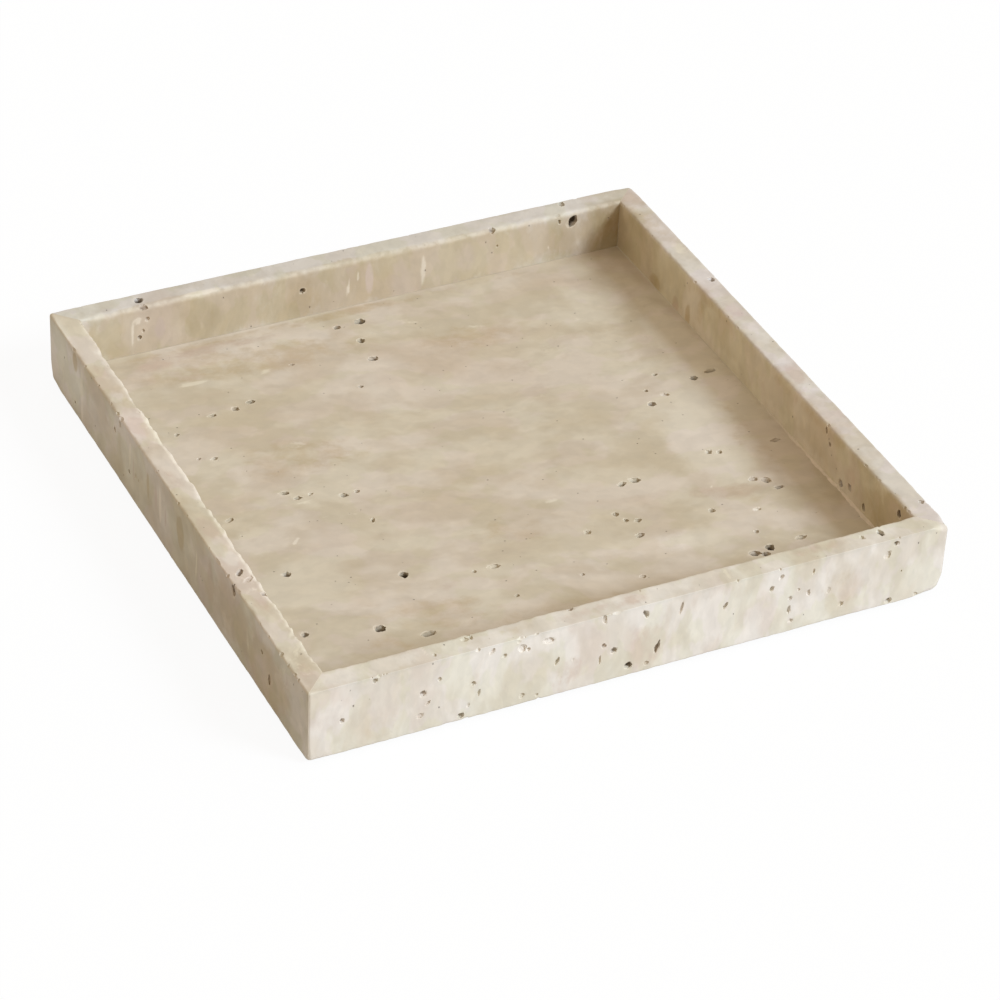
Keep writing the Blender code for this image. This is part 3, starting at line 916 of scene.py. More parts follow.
def wall_solid(name, length, shape):
    """The points and faces of a wall before its voids, along X with its outer face at y = 0."""
    left, right, _ = wall_runs[name]
    seed = stone_characters[name][0]
    half = length / 2
    straight_cells = round(length / wall_step)
    clearance = shape.mitre_joint / 2 * sqrt(2)
    squeeze = (half - clearance) / half
    stations = [(-1, share / corner_cells) for share in range(corner_cells, 0, -1)]
    stations += [(0, share / straight_cells) for share in range(straight_cells + 1)]
    stations += [(1, share / corner_cells) for share in range(1, corner_cells + 1)]
    wear = edge_wear[name]
    outer_ease = shape.arris_ease * wear["outer"][3]
    inner_ease = shape.arris_ease * wear["inner"][3]
    foot_ease = shape.foot_ease * wear["foot"][3]
    points = []
    for side, share in stations:
        place = (share - 0.5) * length if side == 0 else side * half
        worn = smooth((half - abs(place)) / mitre_calm)
        corner = right if place > 0 else left
        near = (1 - smooth((half - abs(place)) / foot_wear_run)) * corner_foot_shares[corner]
        foot = worn_radius(foot_ease, place, seed + 0.1, worn * wear["foot"][5])
        foot = (shape.foot_ease * (1 - worn) + foot * worn) * (1 + near)
        ease = shape.arris_ease * (1 - worn)
        outer = ease * corner_rim_shares[corner] + outer_ease * worn
        outer = worn_radius(outer, place, seed + 0.4, worn * wear["outer"][5])
        inner = worn_radius(ease + inner_ease * worn, place, seed + 0.7, worn * wear["inner"][5])
        for inset, height in wall_section(shape.wall_thickness, stone_height, foot, outer, inner):
            if side == 0:
                start, _ = corner_point(half, inset, corner_radius_at(left, height, shape), 0)
                end, _ = corner_point(half, inset, corner_radius_at(right, height, shape), 0)
                x, y = -start + (start + end) * share, inset
            else:
                radius = corner_radius_at(right if side > 0 else left, height, shape)
                x, y = corner_point(half, inset, radius, share)
                x *= side
            inside = smooth(min(inset, shape.wall_thickness - inset) / lump_margin)
            upper = smooth((height - stone_height + lump_depth) / lump_depth)
            drop = shape.hand_work * worn * unevenness(x, y, seed)
            points.append((x * squeeze, y, height - drop * inside * upper))
    rows = len(points) // len(stations)
    faces = []
    for station in range(len(stations) - 1):
        here = station * rows
        for row in range(rows):
            after = (row + 1) % rows
            faces.append((here + row, here + after, here + rows + after, here + rows + row))
    faces.append(tuple(range(rows)))
    faces.append(tuple(range(len(points) - 1, len(points) - rows - 1, -1)))
    return points, faces


def slab_solid(width, depth, thickness):
    """The points and faces of the floor slab before its voids."""
    counts = (round(width / slab_step), round(depth / slab_step), slab_cells_up)
    sizes = (width, depth, thickness)
    lows = (-width / 2, -depth / 2, 0.0)
    points, faces, known = [], [], {}

    def point(*cell):
        if cell not in known:
            known[cell] = len(points)
            place = (low + size * k / n for low, size, k, n in zip(lows, sizes, cell, counts))
            points.append(tuple(place))
        return known[cell]

    for axis in range(3):
        first, second = (axis + 1) % 3, (axis + 2) % 3
        for level in (0, counts[axis]):
            for a in range(counts[first]):
                for b in range(counts[second]):
                    face = []
                    for step_a, step_b in ((0, 0), (1, 0), (1, 1), (0, 1)):
                        cell = [0, 0, 0]
                        cell[axis] = level
                        cell[first] = a + step_a
                        cell[second] = b + step_b
                        face.append(point(*cell))
                    faces.append(tuple(face if level else reversed(face)))
    return points, faces


class Blob:
    """A lump of empty space that is cut out of a stone."""

    def __init__(self, middle, axes, radii, seed, detail, lumps):
        points, faces = ball_template(detail)
        mirrored = axes[0].cross(axes[1]).dot(axes[2]) < 0
        self.faces = [face[::-1] for face in faces] if mirrored else faces
        self.middle = Vector(middle)
        self.reach = max(radii) * (1 + lumps)
        offset = Vector((seed * 1.37, seed * 0.71, seed * 2.11))
        placed = []
        for point in points:
            swell = 1 + lumps * noise.noise(point * 1.5 + offset)
            swell += 0.45 * lumps * noise.noise(point * 4.1 + offset)
            place = self.middle.copy()
            for axis, radius, part in zip(axes, radii, point):
                place += axis * (radius * part * swell)
            placed.append(place)
        self.points = placed


def ball_template(detail):
    """The points and faces of a unit ball with this much detail."""
    if detail not in ball_templates:
        bm = bmesh.new()
        bmesh.ops.create_icosphere(bm, subdivisions=detail, radius=1)
        points = [vert.co.copy() for vert in bm.verts]
        faces = [tuple(vert.index for vert in face.verts) for face in bm.faces]
        bm.free()
        ball_templates[detail] = (points, faces)
    return ball_templates[detail]


def face_point(face, along, up):
    """The point of a face at these shares of its two spans."""
    a = face.span_a[0] + along * (face.span_a[1] - face.span_a[0])
    b = face.span_b[0] + up * (face.span_b[1] - face.span_b[0])
    return face.place(a, b)


def well_inside(along, up, margins):
    """Whether a place keeps clear of a face's ends and edges by these shares."""
    return margins[0] < along < 1 - margins[0] and margins[1] < up < 1 - margins[1]


def leaned(face, lean):
    """The directions with the face's grain and across it, turned by the lean in degrees."""
    turn = radians(lean)
    along = face.grain * cos(turn) + face.across * sin(turn)
    return along, face.across * cos(turn) - face.grain * sin(turn)


def void_blobs(place, face, sizes, lean, seed, unit):
    """An open void: a shallow dish whose lip flares, and a rough hollow under a deep one."""
    long, wide, deep = (size * unit for size in sizes)
    along, aside = leaned(face, lean)
    axes = (along, aside, face.out)
    detail = 3 if max(long, wide) > fine_limit * unit else 2
    dish = min(deep * dish_share, dish_limit * unit)
    radii = (long / 2 * lip_shares[0], wide / 2 * lip_shares[1], dish * lip_shares[2])
    blobs = [Blob(place + face.out * dish * 0.85, axes, radii, seed, detail, lip_lumps)]
    if deep > hollow_limit * unit:
        shift = along * (long * 0.05) - aside * (wide * 0.03)
        radii = (long / 2 * hollow_shares[0], wide / 2 * hollow_shares[1], deep * hollow_shares[2])
        middle = place + shift - face.out * deep * 0.22
        blobs.append(Blob(middle, axes, radii, seed + 5.3, detail, hollow_lumps))
    return blobs


def small_voids(random, count, face, unit):
    """Seeded small voids over a face. They gather along some of the stone's layers."""
    blobs = []
    layers = [random.random() for _ in range(max(3, count // 12))]
    for _ in range(count):
        along = random.random()
        if random.random() < 0.6:
            along = random.choice(layers) + random.gauss(0, 0.006)
        up = random.random()
        length = unit * random.choice(small_void_lengths)
        width = length * random.uniform(0.55, 1.0)
        lean = random.gauss(0, lean_spread)
        seed = random.uniform(0, 90)
        if not well_inside(along, up, small_void_margins):
            continue
        place = face_point(face, along, up)
        sink = face.out * (-length * random.uniform(0.0, 0.35))
        radii = (length / 2 * 1.5, width / 2 * 1.2, length * 0.8)
        axes = (*leaned(face, lean), face.out)
        blobs.append(Blob(place + sink, axes, radii, seed, 1, small_void_lumps))
    return blobs


def scattered_voids(random, count, face, unit):
    """Seeded full-size voids over a face, some of them in short chains."""
    blobs = []
    along, up = random.random(), random.random()
    for index in range(count):
        if random.random() < 0.55:
            along, up = random.random(), random.random()
        else:
            along, up = along + random.gauss(0, 0.012), up + random.gauss(0, 0.14)
        long = random.uniform(*scattered_lengths)
        wide = random.uniform(*scattered_breadths) + 0.15 * long
        deep = random.uniform(*scattered_depths)
        lean = random.gauss(0, lean_spread)
        if not well_inside(along, up, scattered_margins):
            continue
        place = face_point(face, along, up)
        blobs += void_blobs(place, face, (long, wide, deep), lean, index * 3.7, unit)
    return blobs


def in_rounds(blobs):
    """The blobs in rounds, so that no two in a round touch."""

    def apart(one, other):
        return (one.middle - other.middle).length > one.reach + other.reach

    rounds = []
    for blob in sorted(blobs, key=lambda blob: -blob.reach):
        for fellows in rounds:
            if all(apart(blob, other) for other in fellows):
                fellows.append(blob)
                break
        else:
            rounds.append([blob])
    return rounds


def blob_mesh(name, blobs, lining):
    """One mesh of these blobs, in the void's own material."""
    points, faces = [], []
    for blob in blobs:
        start = len(points)
        points += blob.points
        faces += [tuple(start + index for index in face) for face in blob.faces]
    mesh = bpy.data.meshes.new(name)
    mesh.from_pydata(points, [], faces)
    mesh.materials.append(lining)
    mesh.update()
    return mesh


def carve(name, points, faces, blobs, face_material, lining):
    """The mesh of a stone with these blobs cut out of it. The cuts get the lining material."""
    scene = bpy.context.scene
    mesh = bpy.data.meshes.new(name)
    mesh.from_pydata(points, [], faces)
    bm = bmesh.new()
    bm.from_mesh(mesh)
    bmesh.ops.recalc_face_normals(bm, faces=bm.faces)
    bm.to_mesh(mesh)
    bm.free()
    mesh.materials.append(face_material)
    stone = bpy.data.objects.new(name + "_uncut", mesh)
    scene.collection.objects.link(stone)
    cutters = []
    for number, fellows in enumerate(in_rounds(blobs)):
        cutter_mesh = blob_mesh(f"{name}_cutter_{number}", fellows, lining)
        cutter = bpy.data.objects.new(cutter_mesh.name, cutter_mesh)
        scene.collection.objects.link(cutter)
        cut = stone.modifiers.new(cutter.name, "BOOLEAN")
        cut.operation = "DIFFERENCE"
        cut.solver = "MANIFOLD"
        cut.material_mode = "TRANSFER"
        cut.object = cutter
        cutters.append(cutter)
    depsgraph = bpy.context.evaluated_depsgraph_get()
    depsgraph.update()
    cut_mesh = bpy.data.meshes.new_from_object(
        stone.evaluated_get(depsgraph), preserve_all_data_layers=True, depsgraph=depsgraph
    )
    cut_mesh.name = name
    for obj in (stone, *cutters):
        spare = obj.data
        bpy.data.objects.remove(obj)
        bpy.data.meshes.remove(spare)
    slots = np.empty(len(cut_mesh.polygons), np.int32)
    cut_mesh.polygons.foreach_get("material_index", slots)
    if blobs and not (slots == 1).any():
        raise RuntimeError(f"no void was cut into {name}")
    counts = np.empty(len(cut_mesh.polygons), np.int32)
    cut_mesh.polygons.foreach_get("loop_total", counts)
    corners = np.empty(len(cut_mesh.loops), np.int32)
    cut_mesh.loops.foreach_get("vertex_index", corners)
    near_void = np.zeros(len(cut_mesh.vertices))
    near_void[corners[np.repeat(slots, counts) == 1]] = 1
    put_attribute(cut_mesh, "near_void", near_void)
    cut_mesh.shade_smooth()
    cut_mesh.set_sharp_from_angle(angle=smooth_angle)
    return cut_mesh


def put_colours(mesh, name, values):
    """Gives each point of the mesh four values of this name."""
    attribute = mesh.attributes.new(name, "FLOAT_COLOR", "POINT")
    attribute.data.foreach_set("color", values.astype(np.float32).ravel())


def paint_patches(mesh, places, patches, tints):
    """Gives each point how strongly it lies in a cream, tan, rose or pale patch, and its tint."""
    shares = np.zeros((len(places), len(patch_kinds)))
    for middle, axes, radii, kind, strength in patches:
        offsets = (places - np.array(middle)) @ np.array([list(axis) for axis in axes]).T
        reach = np.linalg.norm(offsets / np.array(radii), axis=1)
        cover = smooth_step(1.35 - reach) * strength
        # Stain patches darken or lighten the tint: real stains, and in places painted shade and
        # painted light.
        if kind == "stain":
            tints = tints * (1 - cover[:, None] * (1 - np.array(stain_and_shade_tint)))
        else:
            column = shares[:, patch_kinds.index(kind)]
            np.maximum(column, cover, out=column)
    put_colours(mesh, "patches", shares)
    put_colours(mesh, "tint", np.column_stack((tints, np.ones(len(places)))))


def wall_tints_and_shade(name, inset, height, thick):
    """The tint of each point of a wall, by the face that it lies nearest. Some of these tints are
    painted shade and painted light.
    """
    rim = smooth_step((height - stone_height + tint_reach) / tint_run)[:, None]
    inside = smooth_step((inset - thick + tint_reach) / tint_run)[:, None] * (1 - rim)
    tints = face_tints_and_shade[name]
    return 1 + rim * (np.array(tints["rim"]) - 1) + inside * (np.array(tints["inside"]) - 1)


def placed_patch(patch, face, unit):
    """A patch of a face in the stone's own coordinates."""
    along, up, long, wide, kind, strength, *lean = patch
    radii = (long * unit / 2, wide * unit / 2, patch_depth)
    axes = (*leaned(face, sum(lean)), face.out)
    return face_point(face, along, up), axes, radii, kind, strength


def stand_stone(name, mesh, turn, place):
    """Stands a stone in the tray for its CAD node, with its flat faces shaded flat."""
    stone = show(name + "_stone", mesh, name)
    stone.location = place
    stone.rotation_euler = Euler((0, 0, turn))
    even = stone.modifiers.new("Even faces", "WEIGHTED_NORMAL")
    even.keep_sharp = True
    even.weight = 80
    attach(stone, "root")


def wall_faces(length, shape):
    """The faces of a wall that show, and its foot."""
    thick = shape.wall_thickness
    rise = (0, stone_height)
    inner_rise = (shape.floor_thickness, stone_height)
    span = (-length / 2, length / 2)
    depth = (0, thick)
    x, y, z = x_axis, y_axis, z_axis
    return {
        "outside": Face(lambda a, b: Vector((a, 0, b)), span, rise, z, x, -y),
        "inside": Face(lambda a, b: Vector((a, thick, b)), span, inner_rise, z, x, y),
        "rim": Face(lambda a, b: Vector((a, b, stone_height)), span, depth, y, x, z),
        "foot": Face(lambda a, b: Vector((a, b, 0)), span, depth, y, x, -z),
    }


def slab_face(width, depth, level, out):
    """The top or the underside of the floor slab. Its first span runs across the layers."""
    spans = ((-depth / 2, depth / 2), (-width / 2, width / 2))
    return Face(lambda a, b: Vector((b, a, level)), *spans, x_axis, y_axis, out)


def worn_chips(random, name):
    """The chips and scallops that wear has left along a wall's edges."""
    chips = []
    for edge, (chip_count, chip_size, scallop_count, _, _, _) in edge_wear[name].items():
        for _ in range(chip_count):
            reach = chip_size * random.uniform(*chip_reach_shares)
            place = random.uniform(*chip_places)
            length = reach * random.uniform(*chip_length_shares)
            chips.append((edge, place, length, reach, random.uniform(*chip_bite_shares) * reach))
        for _ in range(scallop_count):
            reach = random.uniform(*scallop_reaches)
            place = random.uniform(*chip_places)
            length = reach * random.uniform(*scallop_length_shares)
            chips.append((edge, place, length, reach, random.uniform(*scallop_bites)))
    return chips


def chip_blobs(chips, length, seed, shape):
    """The blobs that take these chips out of a wall's edges."""
    unit = shape.void_unit
    edges = {
        "outer": (stone_height * z_axis, z_axis - y_axis),
        "inner": (Vector((0, shape.wall_thickness, stone_height)), z_axis + y_axis),
        "foot": (Vector((0, 0, 0)), -z_axis - y_axis),
    }
    blobs = []
    for edge, along, long, reach, bite in chips:
        start, out = edges[edge]
        out = out.normalized()
        ease = shape.foot_ease if edge == "foot" else shape.arris_ease
        surface = ease * (sqrt(2) - 1)
        place = start + Vector(((along - 0.5) * length, 0, 0))
        middle = place + out * (reach * unit - bite * unit - surface)
        axes = (x_axis, out.cross(x_axis), out)
        radii = (long * unit / 2 * 1.2, reach * unit, reach * unit)
        lumps = chip_lumps if reach < scallop_reaches[0] else scallop_lumps
        blobs.append(Blob(middle, axes, radii, seed + along * 61, 3 if long > 1.8 else 2, lumps))
    return blobs


def wall_blobs(name, length, shape):
    """Every void and chip of a wall."""
    seed = stone_characters[name][0]
    random = Random(seed)
    unit = shape.void_unit
    thick = shape.wall_thickness
    floor_area = (tray_width - 2 * thick) * (tray_depth - 2 * thick)
    blobs = []
    for side, face in wall_faces(length, shape).items():
        for along, up, long, wide, deep, *lean in wall_void_shares[name].get(side, ()):
            number = seed + along * 100 + up * 10
            place = face_point(face, along, up)
            blobs += void_blobs(place, face, (long, wide, deep), sum(lean), number, unit)
        area = length * (face.span_b[1] - face.span_b[0])
        count = round(shape.small_voids * area / floor_area)
        blobs += small_voids(random, count, face, unit)
        if side in scattered_counts[name]:
            blobs += scattered_voids(random, scattered_counts[name][side], face, unit)
    chips = [*wall_chip_shares[name], *worn_chips(random, name)]
    return blobs + chip_blobs(chips, length, seed, shape)


def slab_blobs(width, depth, shape):
    """Every void of the floor slab."""
    seed = stone_characters["floor_slab"][0]
    random = Random(seed)
    unit = shape.void_unit
    top = slab_face(width, depth, shape.floor_thickness, z_axis)
    underneath = slab_face(width, depth, 0, -z_axis)
    blobs = []
    for along, across, long, wide, deep, *lean in floor_void_shares:
        number = seed + along * 100 + across * 10
        place = face_point(top, across, along)
        blobs += void_blobs(place, top, (long, wide, deep), sum(lean), number, unit)
    blobs += small_voids(random, shape.small_voids, top, unit)
    blobs += small_voids(random, shape.small_voids // 2, underneath, unit)
    blobs += scattered_voids(random, scattered_underneath, underneath, unit)
    return blobs


def wall_patches(name, length, shape):
    """Every patch of colour of a wall."""
    return [
        placed_patch(patch, face, shape.void_unit)
        for side, face in wall_faces(length, shape).items()
        for patch in wall_patch_shares[name].get(side, ())
    ]


def slab_patches(width, depth, shape):
    """Every patch of colour of the floor slab."""
    top = slab_face(width, depth, shape.floor_thickness, z_axis)
    return [
        placed_patch((across, along, *rest), top, shape.void_unit)
        for along, across, *rest in floor_patch_shares
    ]


def feed(tree, socket, value):
    """Wires a socket to this value, or sets it."""
    if isinstance(value, bpy.types.NodeSocket):
        tree.links.new(value, socket)
    else:
        socket.default_value = value


def add_node(tree, kind, inputs=None, **settings):
    """A shader node with these settings, and its inputs by name or number."""
    node = tree.nodes.new("ShaderNode" + kind)
    for name, value in settings.items():
        setattr(node, name, value)
    for name, value in (inputs or {}).items():
        feed(tree, node.inputs[name], value)
    return node


def calc(tree, operation, *values, clamp=False):
    """What this operation makes of these values."""
    inputs = dict(enumerate(values))
    return add_node(tree, "Math", inputs, operation=operation, use_clamp=clamp).outputs[0]


def plus(tree, first, second, clamp=False):
    """The two values added."""
    return calc(tree, "ADD", first, second, clamp=clamp)


def minus(tree, first, second):
    """The first value less the second."""
    return calc(tree, "SUBTRACT", first, second)


def times(tree, first, second):
    """The two values multiplied."""
    return calc(tree, "MULTIPLY", first, second)


def weighted(tree, *pairs):
    """The sum of some values, each times its weight."""
    total = None
    for value, weight in pairs:
        part = times(tree, value, weight)
        total = part if total is None else plus(tree, total, part)
    return total


def remap(tree, value, low, high, to_low=0.0, to_high=1.0):
    """The value moved from one range to another along an even curve."""
    inputs = {0: value, 1: low, 2: high, 3: to_low, 4: to_high}
    return add_node(tree, "MapRange", inputs, interpolation_type="SMOOTHSTEP").outputs[0]


def blend(tree, share, first, second, mode="MIX"):
    """Two colours mixed by a share."""
    inputs = {0: share, 6: first, 7: second}
    return add_node(tree, "Mix", inputs, data_type="RGBA", blend_type=mode).outputs[2]


def shaded(tree, colour, shade):
    """The colour multiplied by another."""
    return blend(tree, 1.0, colour, shade, "MULTIPLY")


def grey(level):
    """A grey of this level."""
    return (level, level, level, 1.0)


def scaled(tree, vector, x, y, z):
    """The vector with each part scaled."""
    inputs = {0: vector, 1: (x, y, z)}
    return add_node(tree, "VectorMath", inputs, operation="MULTIPLY").outputs[0]


def cloudy(tree, vector, scale, seed, detail=3.0, roughness=0.5):
    """A noise from 0 to 1 with this many lumps to the metre."""
    inputs = {"Vector": vector, "W": seed, "Scale": scale, "Detail": detail, "Roughness": roughness}
    return add_node(tree, "TexNoise", inputs, noise_dimensions="4D").outputs[0]


def new_group(name, inputs, outputs):
    """A node group with these sockets: the tree, what comes in and what goes out."""
    group = bpy.data.node_groups.new(name, "ShaderNodeTree")
    for socket_name, kind, default in inputs:
        kind = "NodeSocket" + kind
        socket = group.interface.new_socket(socket_name, in_out="INPUT", socket_type=kind)
        if default is not None:
            socket.default_value = default
    for socket_name, kind in outputs:
        kind = "NodeSocket" + kind
        group.interface.new_socket(socket_name, in_out="OUTPUT", socket_type=kind)
    entry = group.nodes.new("NodeGroupInput")
    result = group.nodes.new("NodeGroupOutput")
    return group, entry.outputs, result.inputs


def use_group(tree, name, inputs):
    """The group of this name placed in this tree, with these inputs. It is built only once."""
    if name not in bpy.data.node_groups:
        group_builders[name](name)
    node = tree.nodes.new("ShaderNodeGroup")
    node.node_tree = bpy.data.node_groups[name]
    for socket, value in inputs.items():
        feed(tree, node.inputs[socket], value)
    return node.outputs


def layers_group(name):
    """Travertine's layers. X runs across them; the body colour and seed make each stone its own."""
    inputs = [("Vector", "Vector", None), ("Seed", "Float", 0.0)]
    inputs += [(kind + " share", "Float", 0.3) for kind in ("Tan", "Rose", "Streak", "Flake")]
    inputs += [(colour, "Color", grey(0.5)) for colour in ("Body", "Cream")]
    inputs += [("Patches", "Color", grey(0.0)), ("Pale patch", "Float", 0.0)]
    outputs = [("Color", "Color"), ("Relief", "Float"), ("Porous", "Float"), ("Sheen", "Float")]
    group, given, result = new_group(name, inputs, outputs)
    seed = given["Seed"]
    # The layers wander a little, so the place that all but the finest noise reads is bent.
    wander = minus(group, cloudy(group, given["Vector"], 14.0, seed, 2.0), 0.5)
    waver = minus(group, cloudy(group, given["Vector"], 110.0, seed, 2.0), 0.5)
    shift = weighted(group, (wander, 0.016), (waver, 0.003))
    offset = add_node(group, "CombineXYZ", {0: shift, 1: 0.0, 2: 0.0}).outputs[0]
    places = {0: given["Vector"], 1: offset}
    bent = add_node(group, "VectorMath", places, operation="ADD").outputs[0]
    noises = {}
    for kind, (stretch, scale, seed_shift, detail, roughness) in stone_noises.items():
        place = scaled(group, bent, *noise_stretches[stretch])
        its_seed = plus(group, seed, seed_shift)
        noises[kind] = cloudy(group, place, scale, its_seed, detail, roughness)
    flake = remap(group, noises["flake"], 0.475, 0.525)
    scale = remap(group, noises["scale"], 0.46, 0.54)
    grain = cloudy(group, given["Vector"], 1600.0, seed, 2.0)
    body = given["Body"]
    pale, tan, rose = (shaded(group, body, shade_shares[kind]) for kind in ("pale", "tan", "rose"))
    # Ragged masks of the patches of colour.
    rag = minus(group, noises["rag"], 0.5)
    rag = plus(group, rag, minus(group, noises["blush"], 0.5))
    masks = list(add_node(group, "SeparateColor", {0: given["Patches"]}).outputs)
    masks.append(given["Pale patch"])
    masks = [remap(group, plus(group, mask, rag), 0.26, 0.72) for mask in masks]
    cream_mask, tan_mask, rose_mask, pale_mask = masks
    # Body and pale stone.
    colour = blend(group, remap(group, noises["patch"], 0.41, 0.57), pale, body)
    colour = blend(group, times(group, pale_mask, 0.9), colour, pale)
    # Tan clouds and streaks.
    clouds = times(group, remap(group, noises["stain"], 0.46, 0.64), given["Tan share"])
    streaks = times(group, remap(group, noises["layer"], 0.52, 0.68), given["Streak share"])
    clear = minus(group, 1.0, times(group, pale_mask, 0.75))
    share = times(group, plus(group, clouds, streaks), clear)
    share = plus(group, share, times(group, tan_mask, 0.8), clamp=True)
    colour = blend(group, share, colour, tan)
    # Rosy clouds.
    share = times(group, remap(group, noises["blush"], 0.50, 0.64), given["Rose share"])
    share = times(group, share, clear)
    share = plus(group, share, times(group, rose_mask, 0.9), clamp=True)
    colour = blend(group, share, colour, rose)
    # Cream streaks and veins.
    share = times(group, remap(group, noises["layer"], 0.45, 0.33), given["Streak share"])
    colour = blend(group, times(group, share, 0.7), colour, given["Cream"])
    vein = remap(group, noises["wisp"], 0.61, 0.70)
    vein = times(group, vein, remap(group, noises["stain"], 0.52, 0.42))
    vein = plus(group, vein, times(group, cream_mask, 1.1), clamp=True)
    colour = blend(group, times(group, vein, 0.6), colour, given["Cream"])
    # Flakes that are a little cooler or warmer.
    flat = blend(group, flake, shade_shares["warm"], shade_shares["cool"])
    colour = blend(group, given["Flake share"], colour, shaded(group, colour, flat))
    scales = times(group, scale, given["Flake share"])
    mottle, fine = noises["mottle"], noises["fine"]
    tone = weighted(group, (mottle, 0.20), (fine, 0.02), (grain, 0.012), (scales, 0.05))
    feed(group, result["Color"], shaded(group, colour, plus(group, tone, 0.85)))
    feed(group, result["Relief"], weighted(group, (mottle, 0.5), (fine, 0.1), (grain, 0.08)))
    feed(group, result["Porous"], remap(group, noises["layer"], 0.5, 0.7, 0.1, 1.0))
    feed(group, result["Sheen"], weighted(group, (noises["patch"], 0.5), (mottle, 0.5)))


def pores_group(name):
    """Pin pores that are too small to be cut."""
    inputs = [("Vector", "Vector", None), ("Porous", "Float", 0.5), ("Amount", "Float", 0.3)]
    group, given, result = new_group(name, inputs, [("Mask", "Float"), ("Depth", "Float")])
    stretched = scaled(group, given["Vector"], 1.0, 0.6, 0.6)
    cells = add_node(group, "TexVoronoi", {"Vector": stretched, "Scale": 560.0})
    chance = add_node(group, "SeparateColor", {0: cells.outputs[1]}).outputs
    likely = times(group, given["Porous"], given["Amount"])
    there = calc(group, "LESS_THAN", chance[0], likely)
    size = plus(group, times(group, chance[1], 0.16), 0.08)
    edge = minus(group, size, cells.outputs[0])
    mask = times(group, remap(group, edge, 0.0, 0.06), there)
    feed(group, result["Mask"], mask)
    feed(group, result["Depth"], times(group, mask, -1.0))


def wear_and_highlight_group(name):
    """Edges and void rims painted pale where the stone's points say that one is near: partly
    rubbed by handling, partly painted highlight.
    """
    inputs = [
        ("Vector", "Vector", None),
        ("Color", "Color", grey(0.5)),
        ("Rubbed", "Color", grey(0.8)),
        ("Near edge", "Float", 0.0),
        ("Near void", "Float", 0.0),
    ]
    group, given, result = new_group(name, inputs, [("Color", "Color"), ("Mask", "Float")])
    patches = remap(group, cloudy(group, given["Vector"], 240.0, 3.0, 3.0), 0.38, 0.60, 0.1, 1.0)
    near = calc(group, "MAXIMUM", given["Near edge"], times(group, given["Near void"], 0.8))
    mask = times(group, near, patches)
    # The pale is partly rubbed wear and partly painted highlight.
    rubbed = blend(group, times(group, mask, 0.28), given["Color"], given["Rubbed"])
    feed(group, result["Color"], rubbed)
    feed(group, result["Mask"], mask)


def saw_group(name):
    """Marks that the saw left on the underside."""
    inputs = [("Vector", "Vector", None), ("Sawn", "Float", 0.0)]
    group, given, result = new_group(name, inputs, [("Height", "Float"), ("Tint", "Float")])
    parts = add_node(group, "SeparateXYZ", {0: given["Vector"]}).outputs
    wobble = times(group, cloudy(group, given["Vector"], 30.0, 5.0, 2.0), 0.004)
    place = plus(group, plus(group, parts[0], times(group, parts[1], 0.35)), wobble)
    stripe = calc(group, "SINE", times(group, place, 2 * pi / saw_pitch))
    broken = times(group, stripe, cloudy(group, given["Vector"], 160.0, 9.0, 3.0))
    feed(group, result["Height"], times(group, broken, given["Sawn"]))
    feed(group, result["Tint"], times(group, given["Sawn"], plus(group, broken, 1.0)))


def void_group(name):
    """The colour inside a void, by how deep the point lies under the stone's face. It is paler at
    the lip, partly painted highlight, and darker further down, partly the lining's own browner
    colour and partly painted shade.
    """
    inputs = [
        ("Vector", "Vector", None),
        ("Color", "Color", grey(0.5)),
        ("Lip", "Color", grey(0.8)),
        ("Deep", "Color", grey(0.2)),
        ("Depth", "Float", 0.0),
    ]
    group, given, result = new_group(name, inputs, [("Color", "Color"), ("Height", "Float")])
    crystals = cloudy(group, given["Vector"], 900.0, 1.0, 4.0, 0.65)
    lip = remap(group, given["Depth"], 0.0004, 0.0, 0.0, 0.4)
    colour = blend(group, lip, given["Color"], given["Lip"])
    # Darker with depth: partly the lining's own colour, partly painted shade in the hollow.
    stain = plus(group, times(group, crystals, 0.0004), given["Depth"])
    colour = blend(group, remap(group, stain, 0.0009, 0.0031), colour, given["Deep"])
    feed(group, result["Color"], colour)
    feed(group, result["Height"], crystals)


group_builders = {
    "Travertine layers": layers_group,
    "Pin pores": pores_group,
    "Edge wear": wear_and_highlight_group,
    "Saw marks": saw_group,
    "Void lining": void_group,
}


def point_value(tree, name):
    """A value that the mesh's points hold."""
    return add_node(tree, "Attribute", attribute_name=name).outputs["Fac"]


def empty_material(name):
    """A material without nodes, and its tree."""
    material = bpy.data.materials.new(name)
    material.use_nodes = True
    material.node_tree.nodes.clear()
    return material, material.node_tree


def new_material(name):
    """A material with only its shader: the material, its tree and the shader."""
    material, tree = empty_material(name)
    shader = add_node(tree, "BsdfPrincipled", {"Specular IOR Level": 0.3})
    add_node(tree, "OutputMaterial", {"Surface": shader.outputs[0]})
    return material, tree, shader


def bumped(tree, shader, height, distance, strength=1.0):
    """Feeds the shader's normal from a height."""
    inputs = {"Height": height, "Distance": distance, "Strength": strength}
    feed(tree, shader.inputs["Normal"], add_node(tree, "Bump", inputs).outputs[0])


def stone_coordinates(tree, is_slab):
    """Places in the stone, with X across its layers and Z along them."""
    place = add_node(tree, "TexCoord").outputs["Object"]
    if not is_slab:
        return place
    inputs = {"Vector": place, "Angle": slab_layer_turn}
    place = add_node(tree, "VectorRotate", inputs, rotation_type="Z_AXIS").outputs[0]
    parts = add_node(tree, "SeparateXYZ", {0: place}).outputs
    return add_node(tree, "CombineXYZ", {0: parts[1], 1: parts[2], 2: parts[0]}).outputs[0]


